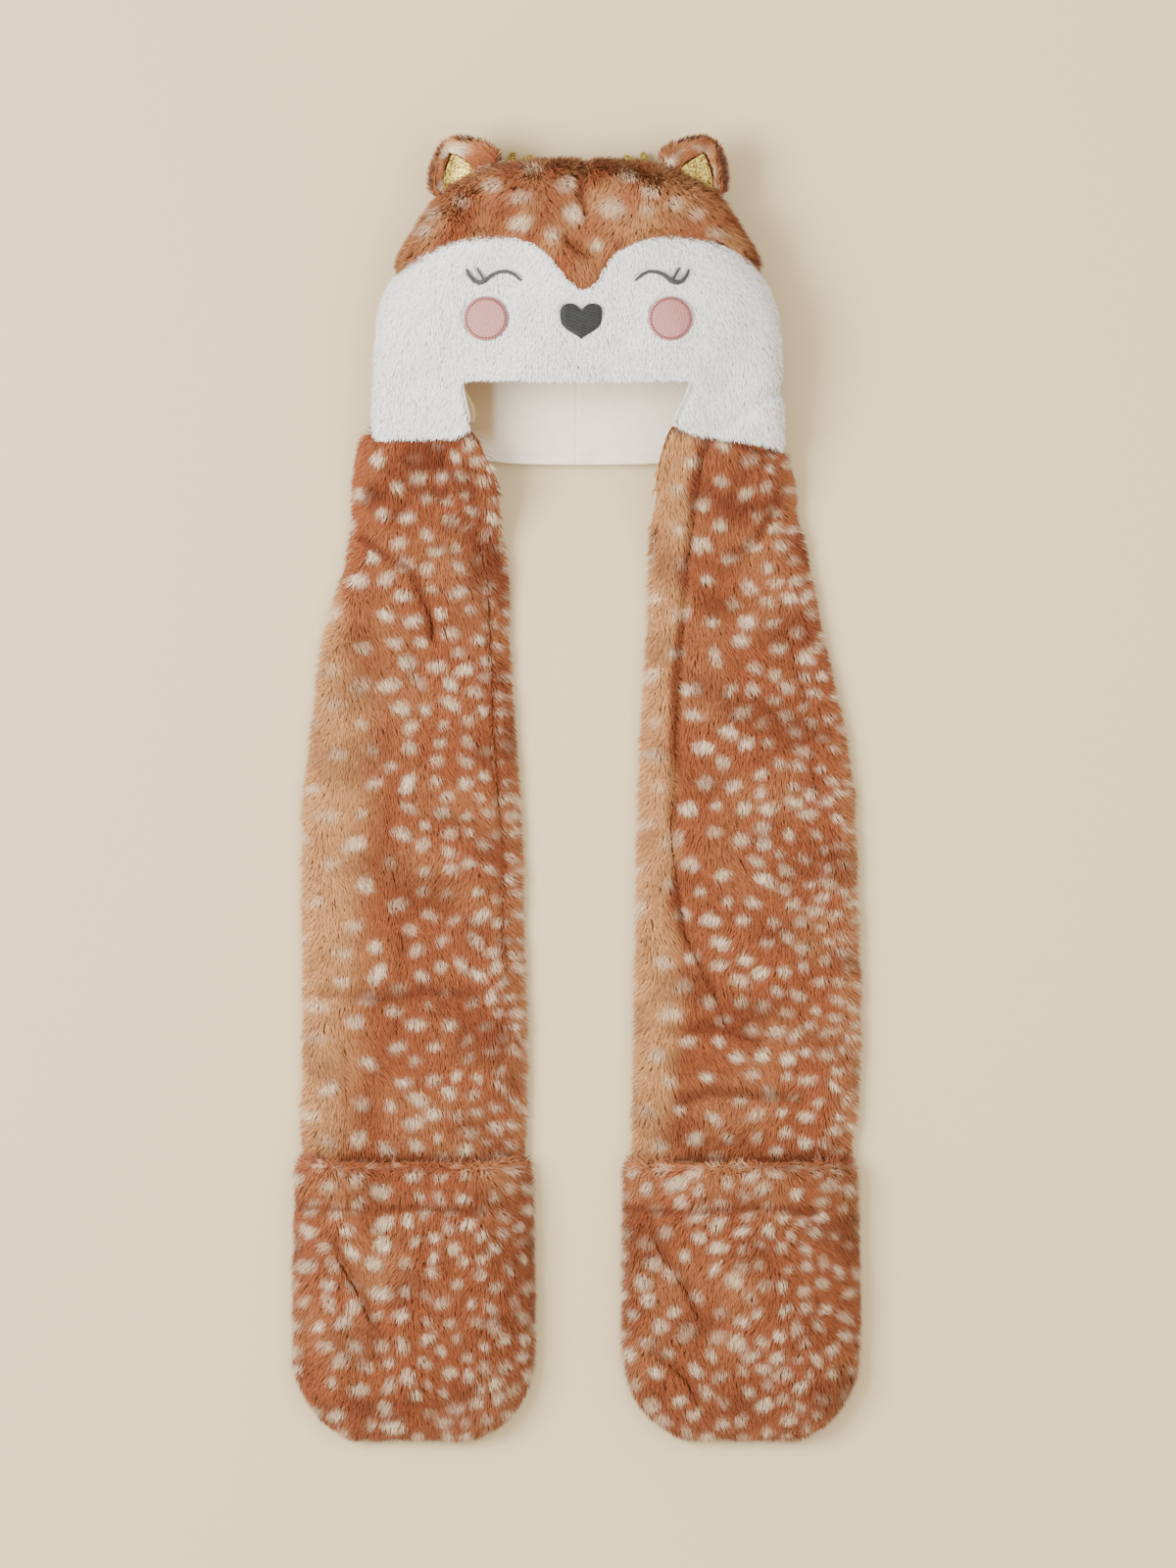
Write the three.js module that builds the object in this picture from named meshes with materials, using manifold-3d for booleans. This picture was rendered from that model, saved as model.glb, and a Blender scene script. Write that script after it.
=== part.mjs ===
// A child's plush hood scarf with a fawn's face, lying on its back: a lined hood, two long
// scarf ends in spotted fur with a hand pocket at each tip, ears, small antlers and a sewn face.
// Millimetres. X runs across the hood, Y up towards its crown, Z up from the surface it lies on.
// The origin is on the surface it lies on, below the middle of the whole piece.
import * as THREE from "three";
import Module from "manifold-3d";

// The hood as it lies, measured over the fur
const HOOD_WIDTH = 263;
const HOOD_RISE = 138; // brow hem to crown
const HOOD_DEPTH = 74; // resting surface to the front of the face
const NAPE_DROP = 54; // the nape hem hangs this far below the brow hem
const NAPE_HEM = 124; // its straight length
const NAPE_CORNER = 36; // it rises to the flaps over this width
const FLAP_DROP = 36; // the cheek flaps reach this far below the brow hem
const BROW_HEM = 148; // length of the straight hem above the opening
const CHEEK_DROOP = 14; // how far the flaps' inner corners sink

// The scarf ends
const SCARF_WIDTH = 148;
const SCARF_LENGTH = 630; // cheek flap to tip, under the pocket
const SCARF_SPREAD = HOOD_WIDTH * 0.4; // middle of the hood to the middle of a scarf end
const SCARF_HEIGHT = 14; // resting surface to the top of the fur
const SEAM_RIM = 8.4; // height of its outer edge where it is sewn to the hood
const SCARF_FALL = 90; // it comes down off the hood over this length
const CORNER_RADIUS = 46;

// The hand pockets
const POCKET_LENGTH = 172;
const POCKET_RIM = 4.5; // the pocket is this much wider than the scarf on each side
const POCKET_HEM = 24; // the turned hem at the mouth
const HEM_STITCH = 5; // half the width of the furrow that its stitching pulls
const HAND_ROOM = 13;
const HAND_EDGE = 42; // the room narrows over this distance from the pocket's edges
const MOUTH_SHARE = 0.8; // share of HAND_ROOM at the mouth

// Cloth walls
const FUR_WALL = 7; // backing and pile together
const FLEECE_WALL = 2.5;
const LAYER_GAP = 1.2; // between two cloths that lie on each other
const SEAM_GAP = 0.7; // between two panels along a seam
const TRIM_GAP = 0.35; // under what is sewn on the face
const RIM_RADIUS = 9; // how round an edge of the scarf is
const RIM_LIFT = 1; // the fur's edge above the resting surface
const TURN_IN = 1.5; // the fleece is sewn on this far inside the rolled edge

// Locks of the pile
const LOCK_RISE = 1.5;
const LOCK_SINK = 0.6; // share of LOCK_RISE that the fur drops between two locks
const LOCK_SWEEP = 4; // their tips point this far down the cloth
const TUFT_REACH = 2.5; // past an edge of the fur

// Ears, antlers and the sewn face
const EAR_LENGTH = 32;
const EAR_WALL = 6;
const EAR_CUP = 6;
const GLITTER_WALL = 1.2;
const ANTLER_RADIUS = 3.4;
const ANTLER_LIFT = 1; // above the resting surface
const CHEEK_RADIUS = 14;
const CHEEK_APART = 117;
const FEATURE_UP = 38; // cheeks and nose above the brow hem
const NOSE_WIDTH = 27;
const NOSE_HEIGHT = 21;
const NOSE_ASIDE = 2; // it lies this far right of the middle
const NOSE_FULL = 0.2; // share by which its lower half is wider than a plain heart's
const LASH_SPAN = 35;
const LASH_APART = 107;
const LASH_UP = 64;
const THREAD_WALL = 1.3;

const COLOURS = {
  fawn: { color: 0xb87450, roughness: 0.95, metalness: 0 },
  white: { color: 0xe9e8e4, roughness: 0.95, metalness: 0 },
  cream: { color: 0xe6e0d2, roughness: 0.95, metalness: 0 },
  gold: { color: 0xb99b55, roughness: 0.45, metalness: 0.6 },
  blush: { color: 0xdcb0ad, roughness: 0.6, metalness: 0 },
  charcoal: { color: 0x55585c, roughness: 0.7, metalness: 0 },
};

// Rings of the hood from below the nape to the crown. up is a share of HOOD_RISE, wide of
// HOOD_WIDTH, front and back of HOOD_DEPTH.
const HOOD_RINGS = [
  { up: -0.6, wide: 1.0, front: 0.5, back: 0 },
  { up: -0.4, wide: 1.005, front: 0.6, back: 0 },
  { up: -0.2, wide: 1.0, front: 0.78, back: 0 },
  { up: 0.0, wide: 0.992, front: 0.93, back: 0 },
  { up: 0.2, wide: 0.982, front: 1.0, back: 0 },
  { up: 0.36, wide: 0.952, front: 1.0, back: 0 },
  { up: 0.5, wide: 0.868, front: 0.97, back: 0 },
  { up: 0.64, wide: 0.785, front: 0.91, back: 0.03 },
  { up: 0.766, wide: 0.705, front: 0.83, back: 0.1 },
  { up: 0.87, wide: 0.62, front: 0.76, back: 0.19 },
  { up: 0.945, wide: 0.49, front: 0.69, back: 0.27 },
  { up: 0.988, wide: 0.28, front: 0.6, back: 0.35 },
  { up: 1.0, wide: 0, front: 0.47, back: 0.47 },
];
const MID_SHARE = 0.4; // the hood is widest this far up from its back
const FRONT_POWER = 2.3;
const BACK_POWER = 3.4;
const FLAT_SINK = 3; // how much of the back's curve is pressed flat
const DROOP_HALF = HOOD_WIDTH * 0.36; // the flaps droop inside this distance from the middle
const DENT_FADE = HOOD_WIDTH / 8; // dents fade where the crown is narrower than this
const SEAM_BLEND = 0.25; // rise round the side over which the back seam joins the front one

// The seam between brown crown and white face. across is a share of half the hood's width,
// up of HOOD_RISE. It dips to a peak between the eyes.
const FACE_SEAM = [
  { across: -1.2, up: 0.49 },
  { across: -0.877, up: 0.495 },
  { across: -0.74, up: 0.6 },
  { across: -0.6, up: 0.655 },
  { across: -0.46, up: 0.675 },
  { across: -0.31, up: 0.672 },
  { across: -0.198, up: 0.635 },
  { across: -0.118, up: 0.56 },
  { across: -0.047, up: 0.457 },
  { across: 0.0, up: 0.415 },
  { across: 0.035, up: 0.407 },
  { across: 0.07, up: 0.42 },
  { across: 0.104, up: 0.457 },
  { across: 0.146, up: 0.56 },
  { across: 0.231, up: 0.625 },
  { across: 0.339, up: 0.668 },
  { across: 0.504, up: 0.675 },
  { across: 0.66, up: 0.65 },
  { across: 0.768, up: 0.605 },
  { across: 0.85, up: 0.55 },
  { across: 0.94, up: 0.5 },
  { across: 1.2, up: 0.49 },
];
const BACK_SEAM_UP = 0.49;

// Soft dents in the hood's front. across is a share of half the hood's width, along, long
// and wide of HOOD_RISE, deep of FUR_WALL, and turn is in degrees from upright.
const HOOD_DENTS = [
  { across: 0.03, along: 0.84, long: 0.17, wide: 0.03, turn: -3, deep: 0.5 },
  { across: 0.64, along: 0.1, long: 0.42, wide: 0.06, turn: -17, deep: 0.8 },
  { across: 0.8, along: -0.05, long: 0.2, wide: 0.05, turn: -35, deep: 0.5 },
  { across: -0.62, along: 0.2, long: 0.3, wide: 0.1, turn: 12, deep: 0.35 },
  { across: -0.01, along: 0.47, long: 0.07, wide: 0.07, turn: 0, deep: 0.5 },
];

// Outlines of the two scarf ends. down is a share of SCARF_LENGTH, mid and wide of
// SCARF_WIDTH: mid is how far the middle lies outwards of SCARF_SPREAD.
const SCARF_OUTLINES = {
  left: [
    { down: 0, mid: -0.035, wide: 0.47 },
    { down: 0.033, mid: -0.071, wide: 0.6 },
    { down: 0.092, mid: -0.069, wide: 0.637 },
    { down: 0.121, mid: -0.066, wide: 0.68 },
    { down: 0.15, mid: -0.052, wide: 0.755 },
    { down: 0.209, mid: -0.01, wide: 0.84 },
    { down: 0.297, mid: -0.004, wide: 0.91 },
    { down: 0.37, mid: 0.004, wide: 0.98 },
    { down: 0.502, mid: -0.005, wide: 0.99 },
    { down: 0.619, mid: -0.012, wide: 1.01 },
    { down: 0.72, mid: -0.004, wide: 1.0 },
    { down: 0.86, mid: -0.008, wide: 1.02 },
    { down: 1, mid: -0.008, wide: 1.03 },
  ],
  right: [
    { down: 0, mid: -0.08, wide: 0.49 },
    { down: 0.033, mid: -0.1, wide: 0.585 },
    { down: 0.075, mid: -0.095, wide: 0.62 },
    { down: 0.121, mid: -0.071, wide: 0.69 },
    { down: 0.209, mid: -0.039, wide: 0.796 },
    { down: 0.297, mid: -0.004, wide: 0.915 },
    { down: 0.37, mid: 0.011, wide: 0.97 },
    { down: 0.502, mid: 0.012, wide: 1.0 },
    { down: 0.6, mid: 0.015, wide: 1.015 },
    { down: 0.678, mid: -0.002, wide: 1.005 },
    { down: 0.73, mid: -0.016, wide: 0.985 },
    { down: 0.86, mid: -0.014, wide: 1.0 },
    { down: 1, mid: -0.014, wide: 1.0 },
  ],
};
// How far each cheek flap reaches at its inner and outer edge, as shares of FLAP_DROP
const FLAP_ENDS = { left: { inner: 1, outer: 1.04 }, right: { inner: 0.9, outer: 1.3 } };

// Valleys in the scarf's fur. along and long are shares of SCARF_LENGTH, across and wide of
// SCARF_WIDTH, counted outwards from its middle, deep of SCARF_HEIGHT, and turn is in degrees
// from the scarf's own length, outwards.
const SCARF_FOLDS = {
  left: [
    { along: 0.16, across: 0.1, long: 0.06, wide: 0.04, turn: -28, deep: 0.3 },
    { along: 0.05, across: -0.08, long: 0.05, wide: 0.05, turn: -25, deep: 0.28 },
    { along: 0.55, across: -0.05, long: 0.03, wide: 0.2, turn: 80, deep: 0.12 },
    { along: 0.695, across: 0.0, long: 0.02, wide: 0.3, turn: 90, deep: 0.14 },
  ],
  right: [
    { along: 0.13, across: -0.22, long: 0.15, wide: 0.035, turn: -1, deep: 0.34 },
    { along: 0.37, across: -0.27, long: 0.12, wide: 0.035, turn: 4, deep: 0.3 },
    { along: 0.49, across: -0.16, long: 0.05, wide: 0.045, turn: 24, deep: 0.2 },
    { along: 0.6, across: -0.05, long: 0.03, wide: 0.2, turn: 75, deep: 0.12 },
    { along: 0.69, across: 0.0, long: 0.02, wide: 0.3, turn: 90, deep: 0.14 },
  ],
};
// Valleys in the pockets: along and long are shares of POCKET_LENGTH, deep of HAND_ROOM.
const POCKET_FOLDS = {
  left: [
    { along: 0.3, across: 0.22, long: 0.2, wide: 0.06, turn: -28, deep: 0.2 },
    { along: 0.8, across: -0.05, long: 0.05, wide: 0.2, turn: 90, deep: 0.16 },
  ],
  right: [
    { along: 0.42, across: -0.2, long: 0.22, wide: 0.06, turn: 30, deep: 0.2 },
    { along: 0.83, across: 0.0, long: 0.05, wide: 0.2, turn: 90, deep: 0.14 },
  ],
};

const SIDES = { left: -1, right: 1 };
const SIDE_SEAM = -14; // degrees below level, where the face panel meets the back
const POLE = HOOD_RINGS.length - 1;

// How finely the cloth is divided
const FLAP_COLUMNS = 5;
const BROW_COLUMNS = 18;
const BACK_COLUMNS = 10;
const SCARF_COLUMNS = 10;
const FLAP_ROWS = 3;
const FACE_ROWS = 6;
const CROWN_ROWS = 6;
const FLEECE_ROWS = 7;
const SCARF_ROWS = 30;
const SCARF_FLEECE_ROWS = 4;
const POCKET_ROWS = 9;

const lerp = THREE.MathUtils.lerp;
const smooth = (share) => THREE.MathUtils.smoothstep(share, 0, 1);
const radians = THREE.MathUtils.degToRad;
const spaced = (count, from, to) =>
  Array.from({ length: count + 1 }, (_, i) => lerp(from, to, i / count));

// A smooth curve through one column of a table, read at a place between 0 and its last row
function column(table, name, place) {
  const at = Math.min(Math.max(place, 0), table.length - 1);
  const i = Math.min(Math.floor(at), table.length - 2);
  const row = (k) => table[Math.min(Math.max(k, 0), table.length - 1)][name];
  const [a, b, c, d] = [row(i - 1), row(i), row(i + 1), row(i + 2)];
  const f = at - i;
  const bend = 2 * a - 5 * b + 4 * c - d + f * (3 * (b - c) + d - a);
  return b + 0.5 * f * (c - a + f * bend);
}

// The place in a table where a rising column has the value asked for
function placeOf(table, name, value) {
  let low = 0;
  let high = table.length - 1;
  for (let i = 0; i < 40; i++) {
    const middle = (low + high) / 2;
    if (column(table, name, middle) < value) low = middle;
    else high = middle;
  }
  return (low + high) / 2;
}

// How deep a set of elongated valleys is at a point, in millimetres
function valleys(folds, x, y, unit) {
  return folds.reduce((sum, fold) => {
    const dx = x - fold.across * unit.across;
    const dy = y - fold.along * unit.along;
    const turn = radians(fold.turn);
    const along = dx * Math.sin(turn) + dy * Math.cos(turn);
    const off = dx * Math.cos(turn) - dy * Math.sin(turn);
    const far = (along / (fold.long * unit.long)) ** 2 + (off / (fold.wide * unit.wide)) ** 2;
    return sum + fold.deep * unit.deep * Math.exp(-far);
  }, 0);
}

// A cloth wall: cells with an outer and an inner point at each corner. Cells that share an
// outer corner are joined there, and every free edge is closed from outer to inner, with its
// diagonals laid alike on both sides of a seam.
const SAME_CORNER = 0.02; // corners closer than this are one
const DIAGONAL_WAY = new THREE.Vector3(1, 0.4, 0.7);
class Wall {
  constructor() {
    this.corners = [];
    this.cells = [];
    this.found = new Map();
  }
  corner({ outer, inner }) {
    const key = outer.toArray().map((v) => Math.round(v / SAME_CORNER)).join();
    if (!this.found.has(key)) {
      this.found.set(key, this.corners.length);
      this.corners.push({ outer, inner });
    }
    return this.found.get(key);
  }
  // rows of corners; seen from outside, rows run up the page and columns to the right
  patch(rows) {
    const ids = rows.map((row) => row.map((c) => this.corner(c)));
    for (let i = 0; i + 1 < ids.length; i++)
      for (let j = 0; j + 1 < ids[i].length; j++) {
        const cell = [ids[i][j], ids[i][j + 1], ids[i + 1][j + 1], ids[i + 1][j]];
        const distinct = cell.filter((id, k) => id !== cell[(k + 3) % 4]);
        if (distinct.length > 2) this.cells.push(distinct);
      }
    return this;
  }
  geometry() {
    const count = this.corners.length;
    const faces = [];
    const edges = new Map();
    for (const cell of this.cells) {
      for (let k = 1; k + 1 < cell.length; k++) {
        faces.push(cell[0], cell[k], cell[k + 1]);
        faces.push(cell[0] + count, cell[k + 1] + count, cell[k] + count);
      }
      cell.forEach((a, k) => {
        const b = cell[(k + 1) % cell.length];
        if (edges.has(`${b},${a}`)) edges.delete(`${b},${a}`);
        else edges.set(`${a},${b}`, [a, b]);
      });
    }
    const reach = (id) => this.corners[id].outer.dot(DIAGONAL_WAY);
    for (const [a, b] of edges.values()) {
      if (reach(a) > reach(b)) faces.push(a, a + count, b + count, a, b + count, b);
      else faces.push(a, a + count, b, a + count, b + count, b);
    }
    const points = [
      ...this.corners.map((c) => c.outer),
      ...this.corners.map((c) => c.inner),
    ];
    return new THREE.BufferGeometry().setFromPoints(points).setIndex(faces);
  }
}

// The hood's outer surface. tau runs along HOOD_RINGS and degrees go round the ring from the
// right side over the front.
function hoodSkin(tau, degrees) {
  const ring = (name) => column(HOOD_RINGS, name, tau);
  const half = Math.max(0, (ring("wide") * HOOD_WIDTH) / 2);
  const front = ring("front") * HOOD_DEPTH;
  const back = Math.max(0, ring("back")) * HOOD_DEPTH;
  const mid = lerp(back, front, MID_SHARE);
  const y = ring("up") * HOOD_RISE;
  const [c, s] = [Math.cos(radians(degrees)), Math.sin(radians(degrees))];
  const power = s > 0 ? FRONT_POWER : BACK_POWER;
  const x = half * Math.sign(c) * Math.abs(c) ** (2 / power);
  const bulge = Math.abs(s) ** (2 / power);
  if (s <= 0)
    return new THREE.Vector3(x, y, Math.max(back, mid - (mid - back + FLAT_SINK) * bulge));
  const unit = {
    across: HOOD_WIDTH / 2,
    along: HOOD_RISE,
    long: HOOD_RISE,
    wide: HOOD_RISE,
    deep: FUR_WALL,
  };
  const droop = smooth(-y / FLAP_DROP) * (1 - smooth(Math.abs(x) / DROOP_HALF));
  const fade = bulge * Math.min(1, half / DENT_FADE);
  const sunk = fade * (valleys(HOOD_DENTS, x, y, unit) + CHEEK_DROOP * droop);
  return new THREE.Vector3(x, y, mid + (front - mid) * bulge - sunk);
}

// A point this far inside the outer surface, square to it, by its slope over these steps
const TAU_STEP = 0.05;
const NO_AREA = 1e-3; // at the crown's top the ring has closed to a point
function hoodPoint(tau, degrees, inset) {
  const [low, high] = [Math.max(tau - TAU_STEP, 0), Math.min(tau + TAU_STEP, POLE)];
  const along = hoodSkin(high, degrees).sub(hoodSkin(low, degrees));
  const round = hoodSkin(tau, degrees + 1).sub(hoodSkin(tau, degrees - 1));
  const normal = round.cross(along).negate();
  if (normal.length() < NO_AREA) normal.set(0, 1, 0);
  return hoodSkin(tau, degrees).addScaledVector(normal.normalize(), -inset);
}

const tauAt = (y) => placeOf(HOOD_RINGS, "up", y / HOOD_RISE);

// The degrees round the ring at height y where the front has this x
function degreesAt(x, y) {
  const half = (column(HOOD_RINGS, "wide", tauAt(y)) * HOOD_WIDTH) / 2;
  const share = Math.min(Math.abs(x) / half, 1);
  const degrees = THREE.MathUtils.radToDeg(Math.acos(share ** (FRONT_POWER / 2)));
  return x < 0 ? 180 - degrees : degrees;
}

// A point on the front of the face, this far outside the fur
const onFace = (x, y, outside) => hoodPoint(tauAt(y), degreesAt(x, y), -outside);

// The height of the seam between crown and face this far across
const seamUp = (x) => {
  const place = placeOf(FACE_SEAM, "across", x / (HOOD_WIDTH / 2));
  return column(FACE_SEAM, "up", place) * HOOD_RISE;
};

// The height of a panel's edge beside that seam, at a place round the ring. way is 1 for the
// panel above the seam and -1 for the one below. The seam's height depends on x and x on the
// height, so it is found in a few damped steps.
const SLOPE_STEP = 0.5;
const DAMPING = 0.8;
function besideSeam(degrees, way) {
  const gap = (way * SEAM_GAP) / 2;
  const front = smooth(Math.sin(radians(degrees)) / SEAM_BLEND);
  let y = BACK_SEAM_UP * HOOD_RISE + gap;
  for (let i = 0; i < 6; i++) {
    const { x } = hoodSkin(tauAt(y), degrees);
    const slope = (seamUp(x + SLOPE_STEP) - seamUp(x - SLOPE_STEP)) / (2 * SLOPE_STEP);
    const seam = lerp(BACK_SEAM_UP * HOOD_RISE, seamUp(x), front);
    y = lerp(y, seam + gap * Math.hypot(1, slope * front), DAMPING);
  }
  return y;
}

// Raises every other corner of a fur panel into a lock whose tip is swept downwards
function locked(point, i, j, strength) {
  const raised = (i + j) % 2 === 0 ? 1 : -LOCK_SINK;
  const out = new THREE.Vector3(point.x, 0, point.z - HOOD_DEPTH * MID_SHARE).normalize();
  const moved = point.clone().addScaledVector(out, raised * LOCK_RISE * strength);
  moved.y -= raised > 0 ? LOCK_SWEEP * strength : 0;
  return moved;
}

// Half the width of a scarf end's outline drawn in by inset, this far down it
function scarfHalf(side, s, inset) {
  const place = placeOf(SCARF_OUTLINES[side], "down", s / SCARF_LENGTH);
  const half = (column(SCARF_OUTLINES[side], "wide", place) * SCARF_WIDTH) / 2 - inset;
  const radius = CORNER_RADIUS - inset;
  const into = Math.max(0, s - (SCARF_LENGTH - inset - radius)) / radius;
  return half - radius * (1 - Math.sqrt(Math.max(0, 1 - into * into)));
}

// The x of a scarf end's middle line
function scarfMiddle(side, s) {
  const place = placeOf(SCARF_OUTLINES[side], "down", s / SCARF_LENGTH);
  const out = column(SCARF_OUTLINES[side], "mid", place) * SCARF_WIDTH;
  return SIDES[side] * (SCARF_SPREAD + out);
}

// The x of a place across a scarf end. edge is -1 at its inner edge and 1 at its outer one.
const scarfX = (side, s, edge, inset) =>
  scarfMiddle(side, s) + SIDES[side] * edge * scarfHalf(side, s, inset);

// The height of a rounded edge as a share, this far in from it
const rimShare = (distance, radius) =>
  Math.sqrt(1 - (1 - Math.min(Math.max(distance, 0) / radius, 1)) ** 2);

const edgeDistance = (side, s, edge, inset) =>
  Math.min(scarfHalf(side, s, inset) * (1 - Math.abs(edge)), SCARF_LENGTH - inset - s);

// How far a cheek flap reaches down at this place across it
function flapDropAt(side, edge) {
  const ends = FLAP_ENDS[side];
  return FLAP_DROP * lerp(ends.inner, ends.outer, (edge + 1) / 2);
}

// How far the scarf has left the hood's arch and come down flat, 0 to 1
const laidFlat = (s) => smooth(s / SCARF_FALL);

const scarfY = (side, s, edge) =>
  -lerp(flapDropAt(side, edge), FLAP_DROP, laidFlat(s)) - SEAM_GAP - s;

// The smooth upper face of a scarf end, drawn in by inset. s runs down from its seam.
function scarfTop(side, s, edge, inset) {
  const [x, y] = [scarfX(side, s, edge, inset), scarfY(side, s, edge)];
  const rim = rimShare(edgeDistance(side, s, edge, inset), RIM_RADIUS);
  const flat = RIM_LIFT + (SCARF_HEIGHT - RIM_LIFT) * rim;
  const hood = hoodSkin(tauAt(y), degreesAt(x, y)).z;
  const across = scarfHalf(side, 0, 0) * (1 - edge);
  const arch = lerp(SEAM_RIM, hood, rimShare(across, RIM_RADIUS));
  return new THREE.Vector3(x, y, lerp(arch, flat, laidFlat(s)));
}

// The depth of a scarf end's folds at a point
function foldDepth(folds, side, x, s, length, deep) {
  const unit = { across: SCARF_WIDTH, along: length, long: length, wide: SCARF_WIDTH, deep };
  const middle = scarfMiddle(side, SCARF_LENGTH / 2);
  return valleys(folds[side], SIDES[side] * (x - middle), s, unit);
}

// The underside of the fur, which rolls round the edge and in under the scarf
function scarfUnder(side, s, edge, inset) {
  const laid = laidFlat(s);
  const drawn = inset + RIM_RADIUS * laid;
  const nearTip = smooth((s - SCARF_LENGTH) / CORNER_RADIUS + 1);
  const point = scarfTop(side, s - drawn * nearTip, edge, drawn);
  const fleeceTop = FLEECE_WALL + LAYER_GAP;
  const wall = lerp(FUR_WALL, SCARF_HEIGHT - fleeceTop, laid);
  return point.setZ(Math.max(fleeceTop, point.z - wall));
}

const POCKET_START = SCARF_LENGTH - POCKET_LENGTH;

function named(name, geometry, finish) {
  const mesh = new THREE.Mesh(geometry, new THREE.MeshStandardMaterial(COLOURS[finish]));
  mesh.name = name;
  return mesh;
}

// Rows down a scarf end, closer together at its tip, where they are this far from the end
const TIP_ROWS = [13, 6, 2, 0];
const scarfRows = (count, from, to) => [
  ...spaced(count, from, to - 2 * TIP_ROWS[0]),
  ...TIP_ROWS.map((left) => to - left),
];

// Columns across a scarf end, closer together at its edges
const scarfColumns = (count) => spaced(count, 0, 1).map((v) => -Math.cos(Math.PI * v));

// Runs columns left to right on either side of the hood
const leftToRight = (side, columns) => (side === "left" ? [...columns].reverse() : columns);

function scarfFur(side) {
  const columns = leftToRight(side, scarfColumns(SCARF_COLUMNS));
  const rows = scarfRows(SCARF_ROWS, 0, SCARF_LENGTH).reverse();
  const wall = new Wall().patch(
    rows.map((s, i) =>
      columns.map((edge, j) => {
        const rim = j === 0 || j === SCARF_COLUMNS || i === 0;
        const inner = scarfUnder(side, s, edge, 0);
        const top = scarfTop(side, s, edge, 0);
        const shape = rimShare(edgeDistance(side, s, edge, 0), RIM_RADIUS);
        top.z -= shape * foldDepth(SCARF_FOLDS, side, top.x, s, SCARF_LENGTH, SCARF_HEIGHT);
        if (s === 0 || s > POCKET_START - LOCK_SWEEP * 2) return { outer: top, inner };
        if (!rim) return { outer: locked(top, i, j, 1), inner };
        top.x += SIDES[side] * edge * TUFT_REACH * (i % 2 ? 1 : -LOCK_SINK);
        top.y -= i % 2 ? LOCK_SWEEP : 0;
        return { outer: top, inner };
      }),
    ),
  );
  return named(`scarf_${side}`, wall.geometry(), "fawn");
}

function scarfFleece(side) {
  const columns = leftToRight(side, scarfColumns(SCARF_COLUMNS));
  const fall = spaced(SCARF_FLEECE_ROWS + 1, TURN_IN, SCARF_FALL);
  const rows = [...fall, ...scarfRows(SCARF_FLEECE_ROWS, SCARF_FALL, SCARF_LENGTH).slice(1)].reverse();
  const wall = new Wall().patch(
    rows.map((s) =>
      columns.map((edge) => {
        const outer = scarfUnder(side, s, edge, TURN_IN);
        outer.z -= LAYER_GAP;
        const inner = outer.clone().setZ(Math.max(0, outer.z - FLEECE_WALL));
        return { outer, inner };
      }),
    ),
  );
  return named(`scarf_fleece_${side}`, wall.geometry(), "cream");
}

// The hand pocket's cloth, share down from its mouth, drawn in by inset. Its inner face keeps
// the hand's room above the scarf.
function pocketPoint(side, share, edge, inset, isInner) {
  const s = lerp(POCKET_START, SCARF_LENGTH - inset, share);
  const [x, y] = [scarfX(side, s, edge, inset), scarfY(side, s, edge)];
  const distance = edgeDistance(side, s, edge, inset);
  const down = share * POCKET_LENGTH;
  const gaping = lerp(MOUTH_SHARE, 1, smooth(down / HAND_EDGE));
  const room = HAND_ROOM * smooth(distance / HAND_EDGE) * gaping;
  const fold = foldDepth(POCKET_FOLDS, side, x, down, POCKET_LENGTH, HAND_ROOM);
  const hem = (FUR_WALL / 3) * Math.exp(-(((down - POCKET_HEM) / HEM_STITCH) ** 2));
  const wall = isInner ? 0 : FUR_WALL - hem - fold;
  const height = SCARF_HEIGHT - RIM_LIFT + SEAM_GAP + room + wall;
  const radius = RIM_RADIUS - inset;
  return new THREE.Vector3(x, y, RIM_LIFT + height * rimShare(distance, radius));
}

function pocket(side) {
  const columns = leftToRight(side, scarfColumns(SCARF_COLUMNS));
  const steps = scarfRows(POCKET_ROWS, 0, POCKET_LENGTH).map((down) => down / POCKET_LENGTH);
  steps.reverse();
  const wall = new Wall().patch(
    steps.map((share, i) =>
      columns.map((edge, j) => {
        const inner = pocketPoint(side, share, edge, -SEAM_GAP, true);
        const outer = pocketPoint(side, share, edge, -POCKET_RIM, false);
        const rim = j === 0 || j === SCARF_COLUMNS || i === 0;
        if (rim) return { outer, inner };
        if (share > 0) return { outer: locked(outer, i, j, 1), inner };
        outer.y += j % 2 ? LOCK_SWEEP : 0;
        return { outer, inner };
      }),
    ),
  );
  return named(`pocket_${side}`, wall.geometry(), "fawn");
}

// The corner of a cheek flap's inner edge, from the brow hem down to the scarf's seam
function flapInnerX(side, y) {
  const down = Math.min(Math.max(-y / flapDropAt(side, -1), 0), 1);
  return lerp((SIDES[side] * BROW_HEM) / 2, scarfX(side, 0, -1, 0), down);
}

// Angles round the front, right to left, with a column on each end of the brow hem
const browDegrees = (side, y) => degreesAt(flapInnerX(side, y), y);
function flapColumns(side, y) {
  const seam = side === "left" ? 180 - SIDE_SEAM : SIDE_SEAM;
  return spaced(FLAP_COLUMNS, seam, browDegrees(side, y));
}
function browColumns() {
  const right = flapColumns("right", 0);
  const left = flapColumns("left", 0).reverse();
  const brow = spaced(BROW_COLUMNS, browDegrees("right", 0), browDegrees("left", 0));
  return [...right, ...brow.slice(1, -1), ...left];
}
const backColumns = spaced(BACK_COLUMNS, 180 - SIDE_SEAM, 360 + SIDE_SEAM);

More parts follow.
